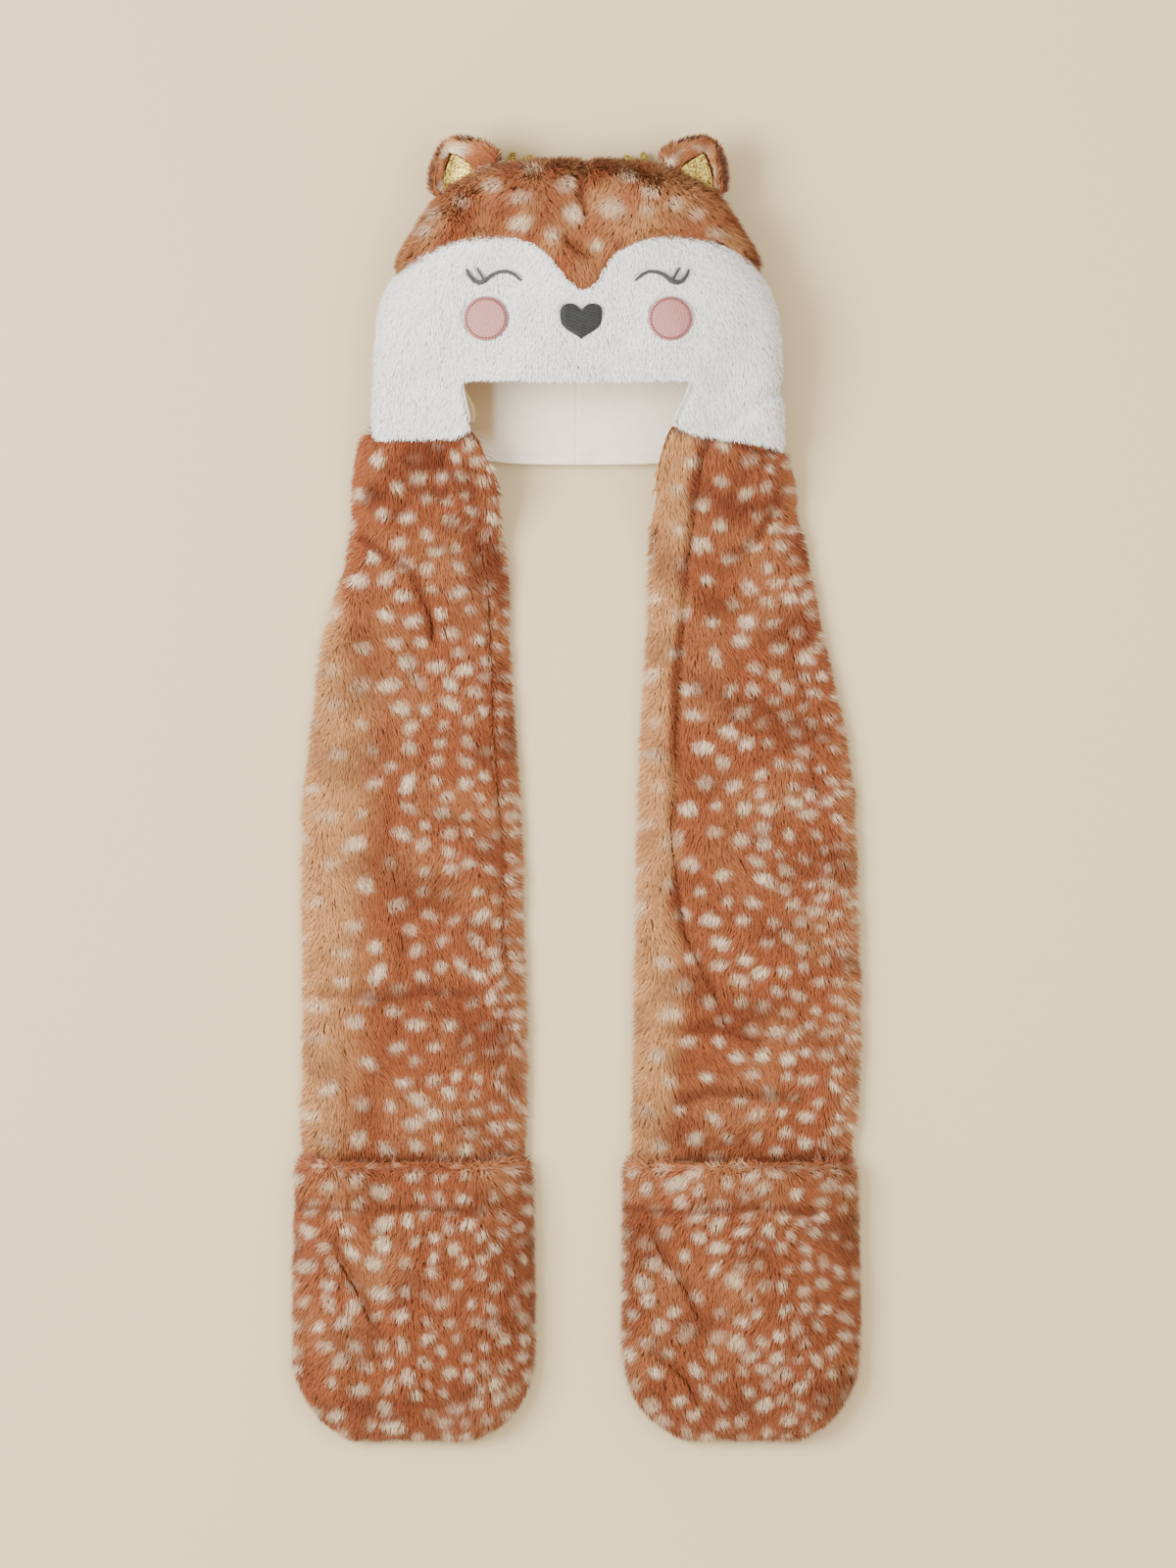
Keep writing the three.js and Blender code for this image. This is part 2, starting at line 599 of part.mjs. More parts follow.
// How far down the hood reaches at a place on its back: flap ends at the sides, nape between
function backDrop(degrees) {
  const x = hoodPoint(tauAt(-FLAP_DROP), degrees, 0).x;
  const side = x < 0 ? "left" : "right";
  const flap = flapDropAt(side, 1);
  return lerp(NAPE_DROP, flap, smooth((Math.abs(x) - NAPE_HEM / 2) / NAPE_CORNER));
}

// One corner of a wall that runs from one depth inside the hood's surface to another
const between = (tau, degrees, [outer, inner]) => ({
  outer: hoodPoint(tau, degrees, outer),
  inner: hoodPoint(tau, degrees, inner),
});
const FUR_LAYER = [0, FUR_WALL];
const FLEECE_LAYER = [FUR_WALL + LAYER_GAP, FUR_WALL + LAYER_GAP + FLEECE_WALL];

// Adds a ring of rows to a wall. Columns run from the right over the front, so each row is
// turned round to run left to right as it is seen from outside.
const addRows = (wall, count, columns, tauOf, layer) =>
  wall.patch(
    spaced(count, 0, 1).map((share) =>
      columns.map((degrees) => between(tauOf(share, degrees), degrees, layer)).reverse(),
    ),
  );

// Adds the two cheek flaps below the brow hem
function addFlaps(wall, layer) {
  for (const side of Object.keys(SIDES)) {
    const rows = spaced(FLAP_ROWS, 1, 0).map((share) => {
      const row = flapColumns(side, -share * FLAP_DROP).map((degrees, j) => {
        const edge = 1 - (2 * j) / FLAP_COLUMNS;
        return between(tauAt(-share * flapDropAt(side, edge)), degrees, layer);
      });
      return side === "left" ? row : row.reverse();
    });
    wall.patch(rows);
  }
  return wall;
}

function face() {
  const wall = new Wall();
  const toSeam = (share, degrees) => tauAt(share * besideSeam(degrees, -1));
  addRows(wall, FACE_ROWS, browColumns(), toSeam, FUR_LAYER);
  return named("face", addFlaps(wall, FUR_LAYER).geometry(), "white");
}

// Columns all the way round, the last on the first
function allRound() {
  const columns = [...browColumns(), ...backColumns.slice(1, -1)];
  return [...columns, columns[0] + 360];
}

function crown() {
  const columns = allRound();
  const wall = new Wall().patch(
    spaced(CROWN_ROWS, 0, 1).map((share, i) =>
      columns
        .map((degrees, j) => {
          const start = tauAt(besideSeam(degrees % 360, 1));
          const { outer, inner } = between(lerp(start, POLE, share), degrees, FUR_LAYER);
          const facing = smooth(Math.sin(radians(degrees)) / SEAM_BLEND - 1);
          const open = i > 0 && i < CROWN_ROWS - 1 ? facing : 0;
          return { outer: locked(outer, i, j % (columns.length - 1), open), inner };
        })
        .reverse(),
    ),
  );
  return named("crown", wall.geometry(), "fawn");
}

function hoodBack() {
  const gap = THREE.MathUtils.radToDeg(SEAM_GAP / (HOOD_DEPTH * MID_SHARE));
  const columns = spaced(BACK_COLUMNS, 180 - SIDE_SEAM + gap, 360 + SIDE_SEAM - gap);
  const top = BACK_SEAM_UP * HOOD_RISE - SEAM_GAP / 2;
  const toSeam = (share, degrees) => tauAt(lerp(-backDrop(degrees), top, share));
  const wall = addRows(new Wall(), FACE_ROWS, columns, toSeam, FUR_LAYER);
  return named("hood_back", wall.geometry(), "fawn");
}

function hoodFleece() {
  const wall = new Wall();
  addRows(wall, FLEECE_ROWS, allRound(), (share) => lerp(tauAt(0), POLE, share), FLEECE_LAYER);
  const toNape = (share, degrees) => tauAt((share - 1) * backDrop(degrees));
  addRows(wall, FLAP_ROWS, backColumns, toNape, FLEECE_LAYER);
  return named("hood_fleece", addFlaps(wall, FLEECE_LAYER).geometry(), "cream");
}

// One corner of what is sewn on the face
const sewnOn = ({ x, y }) => ({
  outer: onFace(x, y, TRIM_GAP + THREAD_WALL),
  inner: onFace(x, y, TRIM_GAP),
});

// A patch sewn on the face: rings of an outline, given by angle, about a middle point
function facePatch(name, finish, middle, outline, count) {
  const wall = new Wall().patch(
    [0, 0.5, 1].map((size) =>
      spaced(count, 360, 0).map((degrees) =>
        sewnOn(outline(radians(degrees % 360)).multiplyScalar(size).add(middle)),
      ),
    ),
  );
  return named(name, wall.geometry(), finish);
}

const cheek = (side) =>
  facePatch(
    `cheek_${side}`,
    "blush",
    new THREE.Vector2((SIDES[side] * CHEEK_APART) / 2, FEATURE_UP),
    (a) => new THREE.Vector2(Math.cos(a), Math.sin(a)).multiplyScalar(CHEEK_RADIUS),
    20,
  );

// A heart from the usual sine and cosine curve, which is 28 units high for 32 wide, made
// fuller between its middle and its tip, 16 units below
function heart(a) {
  const y = 13 * Math.cos(a) - 5 * Math.cos(2 * a) - 2 * Math.cos(3 * a);
  const down = Math.min(Math.max(-y / 16, 0), 1);
  const x = 16 * Math.sin(a) ** 3 * (1 + NOSE_FULL * Math.sin(Math.PI * down));
  return new THREE.Vector2((-x * NOSE_WIDTH) / 32, (y * NOSE_HEIGHT) / 28);
}
const nose = () =>
  facePatch("nose", "charcoal", new THREE.Vector2(NOSE_ASIDE, FEATURE_UP), heart, 28);

// A closed eye's stitched line, outer end first. x and y are shares of LASH_SPAN, inwards
// and upwards, and half is half the line's width.
const LASH_LINE = [
  { x: -0.487, y: 0.14, half: 0.3 },
  { x: -0.443, y: 0.041, half: 0.65 },
  { x: -0.354, y: -0.069, half: 0.95 },
  { x: -0.266, y: -0.101, half: 1.1 },
  { x: -0.19, y: -0.083, half: 1.1 },
  { x: -0.15, y: -0.06, half: 1.05 },
  { x: -0.021, y: 0.041, half: 0.8 },
  { x: 0.112, y: 0.094, half: 0.7 },
  { x: 0.244, y: 0.099, half: 0.7 },
  { x: 0.377, y: 0.041, half: 0.65 },
  { x: 0.487, y: -0.06, half: 0.3 },
];
const LASH_TIP = { x: -0.305, y: 0.165, half: 0.3 };
const LASH_BRANCH = 4; // the second lash leaves the line here

function lash(side) {
  const inwards = -SIDES[side];
  const at = (p) =>
    new THREE.Vector2(
      (SIDES[side] * LASH_APART) / 2 + inwards * p.x * LASH_SPAN,
      LASH_UP + p.y * LASH_SPAN,
    );
  const rows = LASH_LINE.map((p, i) => {
    const before = at(LASH_LINE[Math.max(i - 1, 0)]);
    const after = at(LASH_LINE[Math.min(i + 1, LASH_LINE.length - 1)]);
    const way = after.sub(before).normalize();
    const across = new THREE.Vector2(-way.y, way.x).multiplyScalar(p.half);
    return [at(p).sub(across), at(p).add(across)];
  });
  const upper = inwards > 0 ? 1 : 0;
  const base = [rows[LASH_BRANCH][upper], rows[LASH_BRANCH + 1][upper]];
  const tip = at(LASH_TIP);
  const width = new THREE.Vector2(inwards * LASH_TIP.half, 0);
  const ends = [tip.clone().sub(width), tip.clone().add(width)];
  const wall = new Wall();
  wall.patch(rows.map(([a, b]) => [sewnOn(b), sewnOn(a)]));
  const second = [base, ends].map(([a, b]) => [sewnOn(a), sewnOn(b)]);
  wall.patch(inwards > 0 ? second : second.map((row) => [...row].reverse()));
  return named(`lash_${side}`, wall.geometry(), "charcoal");
}

// Where along the crown's side seam an ear is sewn, as shares of HOOD_RISE
const EAR_SEAT = { low: 0.77, high: 0.972 };
// How round its leaf is, how much it widens, and how far its tip curls forwards
const EAR_LEAF = { power: 2, belly: 0.2, curl: 0.8 };
// The glitter patch, as shares of the ear: half its width at the root, how far inwards of the
// ear's middle it lies, its height, and how it narrows to its tip
const GLITTER_LEAF = { wide: 0.56, aside: 0.2, tall: 0.68, power: 1.9, tip: 0.1 };
const GLITTER_GAP = 0.55;

// A place on the cupped front of an ear. u runs from its outer to its inner edge, v from root
// to tip, and lift raises it off the fur.
function earPoint(side, u, v, lift) {
  const degrees = side === "right" ? 0 : 180;
  const seat = (share) => {
    const up = lerp(EAR_SEAT.low, EAR_SEAT.high, (share + 1) / 2);
    return hoodPoint(tauAt(up * HOOD_RISE), degrees, -TRIM_GAP);
  };
  const middle = seat(0);
  const width = Math.sqrt(Math.max(0, 1 - v ** EAR_LEAF.power)) * (1 + EAR_LEAF.belly * v);
  const point = seat(u).lerp(middle, 1 - width);
  point.y = lerp(point.y, middle.y, v);
  const cup = (u * width) ** 2 + EAR_LEAF.curl * v * v;
  return point.add(new THREE.Vector3(0, v * EAR_LENGTH, cup * EAR_CUP + lift));
}

function ear(side) {
  const grid = (count, wide, tall, make) =>
    spaced(count, 0, 1).map((share) => {
      const v = Math.sin((share * Math.PI) / 2) * tall;
      const row = spaced(count, -wide, wide).map((u) => make(u, v));
      return side === "left" ? row : row.reverse();
    });
  const fur = grid(6, 1, 1, (u, v) => ({
    outer: earPoint(side, u, v, 0),
    inner: earPoint(side, u, v, -EAR_WALL),
  }));
  const { wide, aside, tall, power, tip } = GLITTER_LEAF;
  const narrow = (v) => lerp(1, tip, (v / tall) ** power);
  const glitter = grid(5, wide, tall, (u, v) => ({
    outer: earPoint(side, u * narrow(v) + aside, v, GLITTER_GAP + GLITTER_WALL),
    inner: earPoint(side, u * narrow(v) + aside, v, GLITTER_GAP),
  }));
  return [
    named(`ear_${side}`, new Wall().patch(fur).geometry(), "fawn"),
    named(`ear_glitter_${side}`, new Wall().patch(glitter).geometry(), "gold"),
  ];
}

const wasm = await Module();
wasm.setup();

// Joins closed shapes that overlap into one solid
function joined(geometries) {
  const solids = geometries.map((g) => {
    const { array } = g.attributes.position;
    const index = g.index.array;
    return new wasm.Manifold(
      new wasm.Mesh({ numProp: 3, vertProperties: array, triVerts: new Uint32Array(index) }),
    );
  });
  const mesh = solids.reduce((a, b) => a.add(b)).getMesh();
  return new THREE.BufferGeometry()
    .setAttribute("position", new THREE.BufferAttribute(mesh.vertProperties, 3))
    .setIndex(new THREE.BufferAttribute(mesh.triVerts, 1));
}

// One stuffed branch of an antler: a tapering finger with round ends
function branch(from, to, thick, thin) {
  const sides = 8;
  const way = to.clone().sub(from);
  const turn = new THREE.Quaternion().setFromUnitVectors(
    new THREE.Vector3(0, 0, 1),
    way.clone().normalize(),
  );
  const profile = [
    { along: -0.8, wide: 0.55 },
    { along: 0, wide: 1 },
    { along: 1, wide: 1 },
    { along: 1.7, wide: 0.6 },
  ];
  const ring = ({ along, wide }) => {
    const radius = lerp(thick, thin, Math.min(Math.max(along, 0), 1));
    const reach = along < 0 ? along * thick : Math.max(0, along - 1) * thin;
    const centre = way.length() * Math.min(Math.max(along, 0), 1) + reach;
    return spaced(sides, 0, 360)
      .slice(0, -1)
      .map((degrees) => {
        const a = radians(degrees);
        const p = new THREE.Vector3(Math.cos(a), Math.sin(a), 0).multiplyScalar(radius * wide);
        return p.setZ(centre).applyQuaternion(turn).add(from);
      });
  };
  const rings = profile.map(ring);
  const points = [...rings.flat(), ...[0, rings.length - 1].map((i) => middleOf(rings[i]))];
  const faces = [];
  for (let i = 0; i + 1 < rings.length; i++)
    for (let j = 0; j < sides; j++) {
      const [a, b] = [i * sides + j, i * sides + ((j + 1) % sides)];
      faces.push(a, b, b + sides, a, b + sides, a + sides);
    }
  const foot = points.length - 2;
  const top = (rings.length - 1) * sides;
  for (let j = 0; j < sides; j++) {
    const k = (j + 1) % sides;
    faces.push(foot, k, j, foot + 1, top + j, top + k);
  }
  return new THREE.BufferGeometry().setFromPoints(points).setIndex(faces);
}

const middleOf = (ring) =>
  ring.reduce((sum, p) => sum.add(p), new THREE.Vector3()).divideScalar(ring.length);

// An antler's points, from its root on the crown's back to its tips behind the crown: across
// is a share of half the hood's width, up of HOOD_RISE, high of HOOD_DEPTH. tine and thin are
// a side branch's root and a tip as shares of ANTLER_RADIUS, fork is where it branches.
const ANTLER = {
  fork: 0.45,
  tine: 0.85,
  thin: 0.75,
  seat: { up: 0.86, degrees: -68 },
  tip: { across: 0.315, up: 0.995, high: 0.06 },
  tines: [
    { across: 0.23, up: 0.985, high: 0.07 },
    { across: 0.4, up: 0.93, high: 0.06 },
  ],
};

function antler(side) {
  const at = ({ across, up, high }) =>
    new THREE.Vector3(
      (across * SIDES[side] * HOOD_WIDTH) / 2,
      up * HOOD_RISE,
      Math.max(high * HOOD_DEPTH, ANTLER_RADIUS + ANTLER_LIFT),
    );
  const { up, degrees } = ANTLER.seat;
  const turned = side === "right" ? degrees : 180 - degrees;
  const root = hoodPoint(tauAt(up * HOOD_RISE), turned, -TRIM_GAP - ANTLER_RADIUS);
  const tip = at(ANTLER.tip);
  const fork = root.clone().lerp(tip, ANTLER.fork);
  const [tine, thin] = [ANTLER_RADIUS * ANTLER.tine, ANTLER_RADIUS * ANTLER.thin];
  const shape = joined([
    branch(root, tip, ANTLER_RADIUS, thin),
    ...ANTLER.tines.map((end) => branch(fork, at(end), tine, thin)),
  ]);
  return named(`antler_${side}`, shape, "gold");
}

const scarf = new THREE.Group();
scarf.add(face(), crown(), hoodBack(), hoodFleece(), nose());
for (const side of Object.keys(SIDES)) {
  scarf.add(scarfFur(side), scarfFleece(side), pocket(side));
  scarf.add(cheek(side), lash(side), ...ear(side), antler(side));
}
const box = new THREE.Box3().setFromObject(scarf);
const middle = box.getCenter(new THREE.Vector3());
scarf.position.set(-middle.x, -middle.y, -box.min.z);

export default scarf;
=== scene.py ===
# A child's plush hood and scarf in one, with a sleeping fawn's face, laid flat on its back.
# Built in the order that it is sewn: hood, lining, scarf ends, pockets, then the trims.
import math
import bpy
import numpy as np
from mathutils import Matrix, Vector
from mathutils.bvhtree import BVHTree
from mathutils.kdtree import KDTree


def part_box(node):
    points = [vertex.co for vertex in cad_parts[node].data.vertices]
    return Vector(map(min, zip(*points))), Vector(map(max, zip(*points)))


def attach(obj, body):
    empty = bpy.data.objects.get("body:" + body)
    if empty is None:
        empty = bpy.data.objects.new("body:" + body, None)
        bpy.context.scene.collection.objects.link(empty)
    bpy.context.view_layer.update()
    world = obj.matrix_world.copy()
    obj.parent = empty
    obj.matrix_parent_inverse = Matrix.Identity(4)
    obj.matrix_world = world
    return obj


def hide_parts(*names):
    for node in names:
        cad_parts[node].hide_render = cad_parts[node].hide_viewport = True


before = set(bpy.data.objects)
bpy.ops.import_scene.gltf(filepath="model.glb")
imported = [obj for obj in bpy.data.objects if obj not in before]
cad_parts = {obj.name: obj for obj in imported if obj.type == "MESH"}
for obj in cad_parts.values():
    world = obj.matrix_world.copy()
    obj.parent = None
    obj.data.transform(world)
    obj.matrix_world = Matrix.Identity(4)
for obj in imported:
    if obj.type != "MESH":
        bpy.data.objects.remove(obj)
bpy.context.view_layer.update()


# Camera, table and lamps
# The scarf lies on a pale table and is seen from straight above, under wide soft lamps.

def linear(hex_colour):
    """A colour written as on a swatch card, turned into the numbers that light works with."""
    parts = [int(hex_colour[i : i + 2], 16) / 255 for i in (1, 3, 5)]
    return [p / 12.92 if p <= 0.04045 else ((p + 0.055) / 1.055) ** 2.4 for p in parts] + [1]


def feed(tree, fed, **links):
    """Feeds a node's sockets, each from a socket or from the first one of another node."""
    for name, source in links.items():
        socket = int(name[1:]) if name[0] == "_" else name.replace("_", " ")
        source = source.outputs[0] if isinstance(source, bpy.types.Node) else source
        tree.links.new(source, fed.inputs[socket])


def node(tree, kind, settings=None, **links):
    """Adds a shader node. settings set its properties, its sockets or the stops of its colour
    ramp, and links feed its sockets."""
    made = tree.nodes.new("ShaderNode" + kind)
    for name, value in (settings or {}).items():
        if name == "stops":
            for stop, (at, hex_colour) in zip(made.color_ramp.elements, value):
                stop.position, stop.color = at, linear(hex_colour)
        elif isinstance(name, str) and hasattr(made, name):
            setattr(made, name, value)
        else:
            made.inputs[name].default_value = value
    feed(tree, made, **links)
    return made


def finish(name, specular=0.5, roughness=0.5, **settings):
    """A new material and its surface shader, ready for what makes this finish its own."""
    material = bpy.data.materials.new(name)
    material.use_nodes = True
    surface = material.node_tree.nodes["Principled BSDF"]
    surface.inputs["Specular IOR Level"].default_value = specular
    surface.inputs["Roughness"].default_value = roughness
    for socket, value in settings.items():
        surface.inputs[socket.replace("_", " ")].default_value = value
    return material, material.node_tree, surface


# The photograph's frame is 992 mm tall where the scarf lies, and its middle is just off the
# scarf's own. It is seen from far enough that the hood's height doesn't shift its face.
FRAME_TALL = 0.992
FRAME_MIDDLE = (0.0059, 0.0051)
CAMERA_UP = 12.0
FUR_LEVEL = 0.020
SENSOR_TALL = 36
# The table lies just under the lowest cloth
TABLE_LEVEL = -0.0005

bpy.ops.object.camera_add(location=(*FRAME_MIDDLE, CAMERA_UP), rotation=(0, 0, 0))
camera = bpy.context.object
camera.data.sensor_fit = "VERTICAL"
camera.data.sensor_height = SENSOR_TALL
camera.data.lens = SENSOR_TALL * (CAMERA_UP - FUR_LEVEL) / FRAME_TALL
bpy.context.scene.camera = camera

bpy.ops.mesh.primitive_plane_add(size=12, location=(0, 0, TABLE_LEVEL))
table = bpy.context.object
table.name = "table"
# Matt painted board, the colour of oat milk
board, tree, surface = finish("painted board", specular=0.2, roughness=0.9)
surface.inputs["Base Color"].default_value = linear("#d4c19b")
table.data.materials.append(board)

# A wide lamp beyond the left edge throws the shadows to the right, and a wider one fills them
LAMPS = [
    {"name": "key", "at": (-1.7, 0.3, 1.9), "wide": 1.3, "watts": 128},
    {"name": "fill", "at": (1.3, 0.1, 2.3), "wide": 2.2, "watts": 42},
]
for lamp in LAMPS:
    bpy.ops.object.light_add(type="AREA", location=lamp["at"])
    light = bpy.context.object
    light.name = lamp["name"]
    light.data.size = lamp["wide"]
    light.data.energy = lamp["watts"]
    light.rotation_euler = (-Vector(lamp["at"])).to_track_quat("-Z", "Y").to_euler()
sky = bpy.data.worlds.new("soft room light")
sky.use_nodes = True
sky.node_tree.nodes["Background"].inputs["Color"].default_value = linear("#fff2e0")
sky.node_tree.nodes["Background"].inputs["Strength"].default_value = 1.24
bpy.context.scene.world = sky


# The hood's face
# The front of the hood and its two cheek flaps are cut from white plush, a knitted cloth
# with a short dense pile. Its pile lies downwards and is clipped round what is stitched on.

# Corners as near as this are welded, and triangles are paired where they turn less than this
WELD = 2e-5
PAIRED = 0.9


def cloth_from(source, name, material, levels=2, drawn_in=None):
    """The cloth of one piece: the frame's solid rounded, with its outer face drawn in so that
    the pile that stands on it ends where the solid does."""
    bpy.ops.object.select_all(action="DESELECT")
    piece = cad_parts[source].copy()
    piece.data = piece.data.copy()
    piece.parent = None
    piece.name = name
    piece.data.materials.clear()
    piece.data.materials.append(material)
    for key in list(piece.keys()):
        del piece[key]
    bpy.context.collection.objects.link(piece)
    piece.select_set(True)
    bpy.context.view_layer.objects.active = piece
    bpy.ops.object.mode_set(mode="EDIT")
    bpy.ops.mesh.select_all(action="SELECT")
    # The solid's triangles are paired into four-sided faces, which subdivide evenly
    bpy.ops.mesh.remove_doubles(threshold=WELD)
    bpy.ops.mesh.tris_convert_to_quads(face_threshold=PAIRED, shape_threshold=PAIRED)
    bpy.ops.object.mode_set(mode="OBJECT")
    for layer in list(piece.data.uv_layers):
        piece.data.uv_layers.remove(layer)
    if levels:
        smoother = piece.modifiers.new("rounded", "SUBSURF")
        smoother.levels = smoother.render_levels = levels
        bpy.ops.object.modifier_apply(modifier="rounded")
    if drawn_in:
        at, normal = corners_of(piece.data)
        at += drawn_in(at, normal)
        piece.data.vertices.foreach_set("co", at.ravel())
        piece.data.update()
    bpy.ops.object.shade_smooth()
    return piece


def corners_of(mesh):
    """The places and normals of a mesh's vertices."""
    at = np.empty(len(mesh.vertices) * 3, np.float32)
    normal = np.empty_like(at)
    mesh.vertices.foreach_get("co", at)
    mesh.vertex_normals.foreach_get("vector", normal)
    return at.reshape(-1, 3), normal.reshape(-1, 3)


def drift(at, size, seed):
    """A smooth irregular field about -1 to 1 that changes over this size, in metres."""
    rng = np.random.default_rng(seed)
    waves = rng.normal(size=(3, 14))
    waves *= 2 * math.pi / size * rng.uniform(0.35, 1.1, 14) / np.linalg.norm(waves, axis=0)
    return np.cos(at @ waves + rng.uniform(0, 2 * math.pi, 14)).sum(axis=1) / 4


def step(low, high, value):
    """Runs smoothly from 0 at low to 1 at high."""
    share = np.clip((value - low) / (high - low), 0, 1)
    return share * share * (3 - 2 * share)


def unit(vectors):
    """The same directions, one long."""
    return vectors / np.maximum(np.linalg.norm(vectors, axis=1, keepdims=True), 1e-9)


def roots_on(mesh, count, grows, rng):
    """Where the hairs grow on a cloth, evenly over what grows allows, and the way out there."""
    at, normal = corners_of(mesh)
    mesh.calc_loop_triangles()
    tri = np.empty(len(mesh.loop_triangles) * 3, np.int32)
    mesh.loop_triangles.foreach_get("vertices", tri)
    tri = tri.reshape(-1, 3)
    a, b, c = (at[tri[:, k]] for k in range(3))
    area = np.linalg.norm(np.cross(b - a, c - a), axis=1) / 2
    area *= grows((a + b + c) / 3, unit(normal[tri].mean(axis=1)))
    along = np.cumsum(area) / area.sum()
    face = np.searchsorted(along, (np.arange(count) + rng.random(count)) / count)
    face = np.minimum(face, len(tri) - 1)
    share = rng.dirichlet((1, 1, 1), count)
    root = np.einsum("nk,nkd->nd", share, at[tri[face]])
    return root, unit(np.einsum("nk,nkd->nd", share, normal[tri[face]]))


def mesh_of_blades(name, points):
    """A mesh of blades from the four corners of each, with a place of its own on the map."""
    count = len(points)
    hair = bpy.data.meshes.new(name)
    hair.vertices.add(count * 4)
    hair.vertices.foreach_set("co", points.ravel())
    first = np.arange(count, dtype=np.int32)[:, None] * 4
    loops = (first + np.array([[0, 1, 3, 1, 2, 3]])).astype(np.int32).ravel()
    hair.loops.add(count * 6)
    hair.loops.foreach_set("vertex_index", loops)
    hair.polygons.add(count * 2)
    hair.polygons.foreach_set("loop_start", np.arange(0, count * 6, 3, dtype=np.int32))
    hair.update(calc_edges=True)
    cells = math.ceil(math.sqrt(count))
    cell = np.stack([np.arange(count) % cells, np.arange(count) // cells], axis=1)
    kite = np.array([[0.5, 0.05], [0.95, 0.5], [0.5, 0.95], [0.05, 0.5]])
    on_map = ((cell[:, None, :] + kite) / cells).reshape(-1, 2)
    layer = hair.uv_layers.new(name="OFBake")
    layer.data.foreach_set("uv", on_map[loops].ravel().astype(np.float32))
    return hair


# What all piles share. Hairs stray a little from the nap and in how steeply they rise, each is
# bent by this angle at its middle either way, and one hair in sixteen leads a lock.
STRAY = 0.2
RISE_STRAY = 0.1
FLATTEST, STEEPEST = 0.12, 1.0
LENGTHS = (0.75, 1.08)
BEND = 0.3
HAIRS_A_LOCK = 16
# A hair clipped shorter than this is left out, and none goes through the table
SHORTEST = 0.0008
LOWEST = 0.0004


def pile(
    name, cloth, material, count, long, wide, lift, nap, grows, seed,
    lock=0.45, clip=None, dye=None,
):
    """Hairs on a cloth. Each is a bent blade of two triangles, from a point on the cloth to a
    tip that leans along the nap and draws towards its lock. clip shortens hairs by root and
    tip, and dye gives what the print does where the upper half of each hair lies."""
    rng = np.random.default_rng(seed)
    root, up = roots_on(cloth.data, count, grows, rng)
    way = nap(root, up)
    way += rng.normal(0, STRAY, way.shape)
    way = unit(way - up * (way * up).sum(axis=1, keepdims=True))
    rise = lift * (1 + 0.2 * drift(root, 0.018, seed + 1)) + rng.normal(0, RISE_STRAY, count)
    rise = np.clip(rise + 0.3 * (1 - up[:, 2]), FLATTEST, STEEPEST)[:, None]
    reach = long * rng.uniform(*LENGTHS, count)[:, None]

    def blade(reach):
        lower, upper = rise + BEND, rise - BEND
        middle = root + reach * 0.5 * (np.cos(lower) * way + np.sin(lower) * up)
        return middle, middle + reach * 0.5 * (np.cos(upper) * way + np.sin(upper) * up)

    if clip:
        reach = reach * clip(root, blade(reach)[1])[:, None]
        keep = reach[:, 0] > SHORTEST
        root, up, way, rise, reach = (v[keep] for v in (root, up, way, rise, reach))
        count = len(root)
    middle, tip = blade(reach)

    # Locks: every hair leans towards the nearest of the leading hairs
    leaders = np.arange(0, count, HAIRS_A_LOCK)
    tree = KDTree(len(leaders))
    for i, k in enumerate(leaders):
        tree.insert(root[k], i)
    tree.balance()
    nearest = leaders[[tree.find(Vector(p))[1] for p in root]]
    gather = lock * rng.uniform(0.3, 1, count)[:, None]
    off = (root - root[nearest]) * 0.25
    tip += (tip[nearest] + off - tip) * gather
    middle += (middle[nearest] + off * 2 - middle) * gather * 0.4

    side = unit(np.cross(up, way)) + up * rng.normal(0, 0.35, count)[:, None]
    side = unit(side) * (wide / 2) * rng.uniform(0.7, 1.2, count)[:, None]
    points = np.stack([root, middle + side, tip, middle - side], axis=1).astype(np.float32)
    points[:, :, 2] = np.maximum(points[:, :, 2], LOWEST)
    # A blade seen from behind is shaded dark, so each is turned to face outwards and upwards
    turned = np.cross(points[:, 1] - points[:, 0], points[:, 3] - points[:, 0])
    flip = (turned * (up + [0, 0, 1.5])).sum(axis=1) < 0
    points[flip] = points[flip][:, [0, 3, 2, 1]]
    hair = mesh_of_blades(name, points)

    def keep_value(called, values):
        held = hair.attributes.new(called, "FLOAT", "POINT")
        held.data.foreach_set("value", np.asarray(values, np.float32).ravel())

    keep_value("along", np.tile([0, 0.5, 1, 0.5], count))
    hair_tone, lock_tone = rng.uniform(-1, 1, count), rng.uniform(-1, 1, len(leaders))
    tone = 0.6 * hair_tone + 0.4 * lock_tone[np.searchsorted(leaders, nearest)]
    keep_value("tone", np.repeat(tone, 4))
    for called, values in (dye(0.45 * middle + 0.55 * tip) if dye else {}).items():
        keep_value(called, np.repeat(values, 4))
    # The pile is shaded as one soft coat, by the cloth's own shape more than by each blade
    soft = unit(up + 0.35 * way + [0, 0, 0.5] + rng.normal(0, 0.2, up.shape))
    hair.normals_split_custom_set_from_vertices(np.repeat(soft, 4, axis=0))
    hair.materials.append(material)
    piece = bpy.data.objects.new(name, hair)
    bpy.context.collection.objects.link(piece)
    return piece


def stands_for(cloth, source, slot, *hair):
    """Ties a piece and its hair to the frame, in place of one of its solids."""
    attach(cloth, "root")
    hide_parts(source)
    for piece in hair:
        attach(piece, "root")


# The hood is a flattened tube. Its axis spreads to this share of its width at this height, and
# ends below the crown.
AXIS_SPREAD = 0.72
AXIS_HEIGHT = 0.030
AXIS_END = 0.335


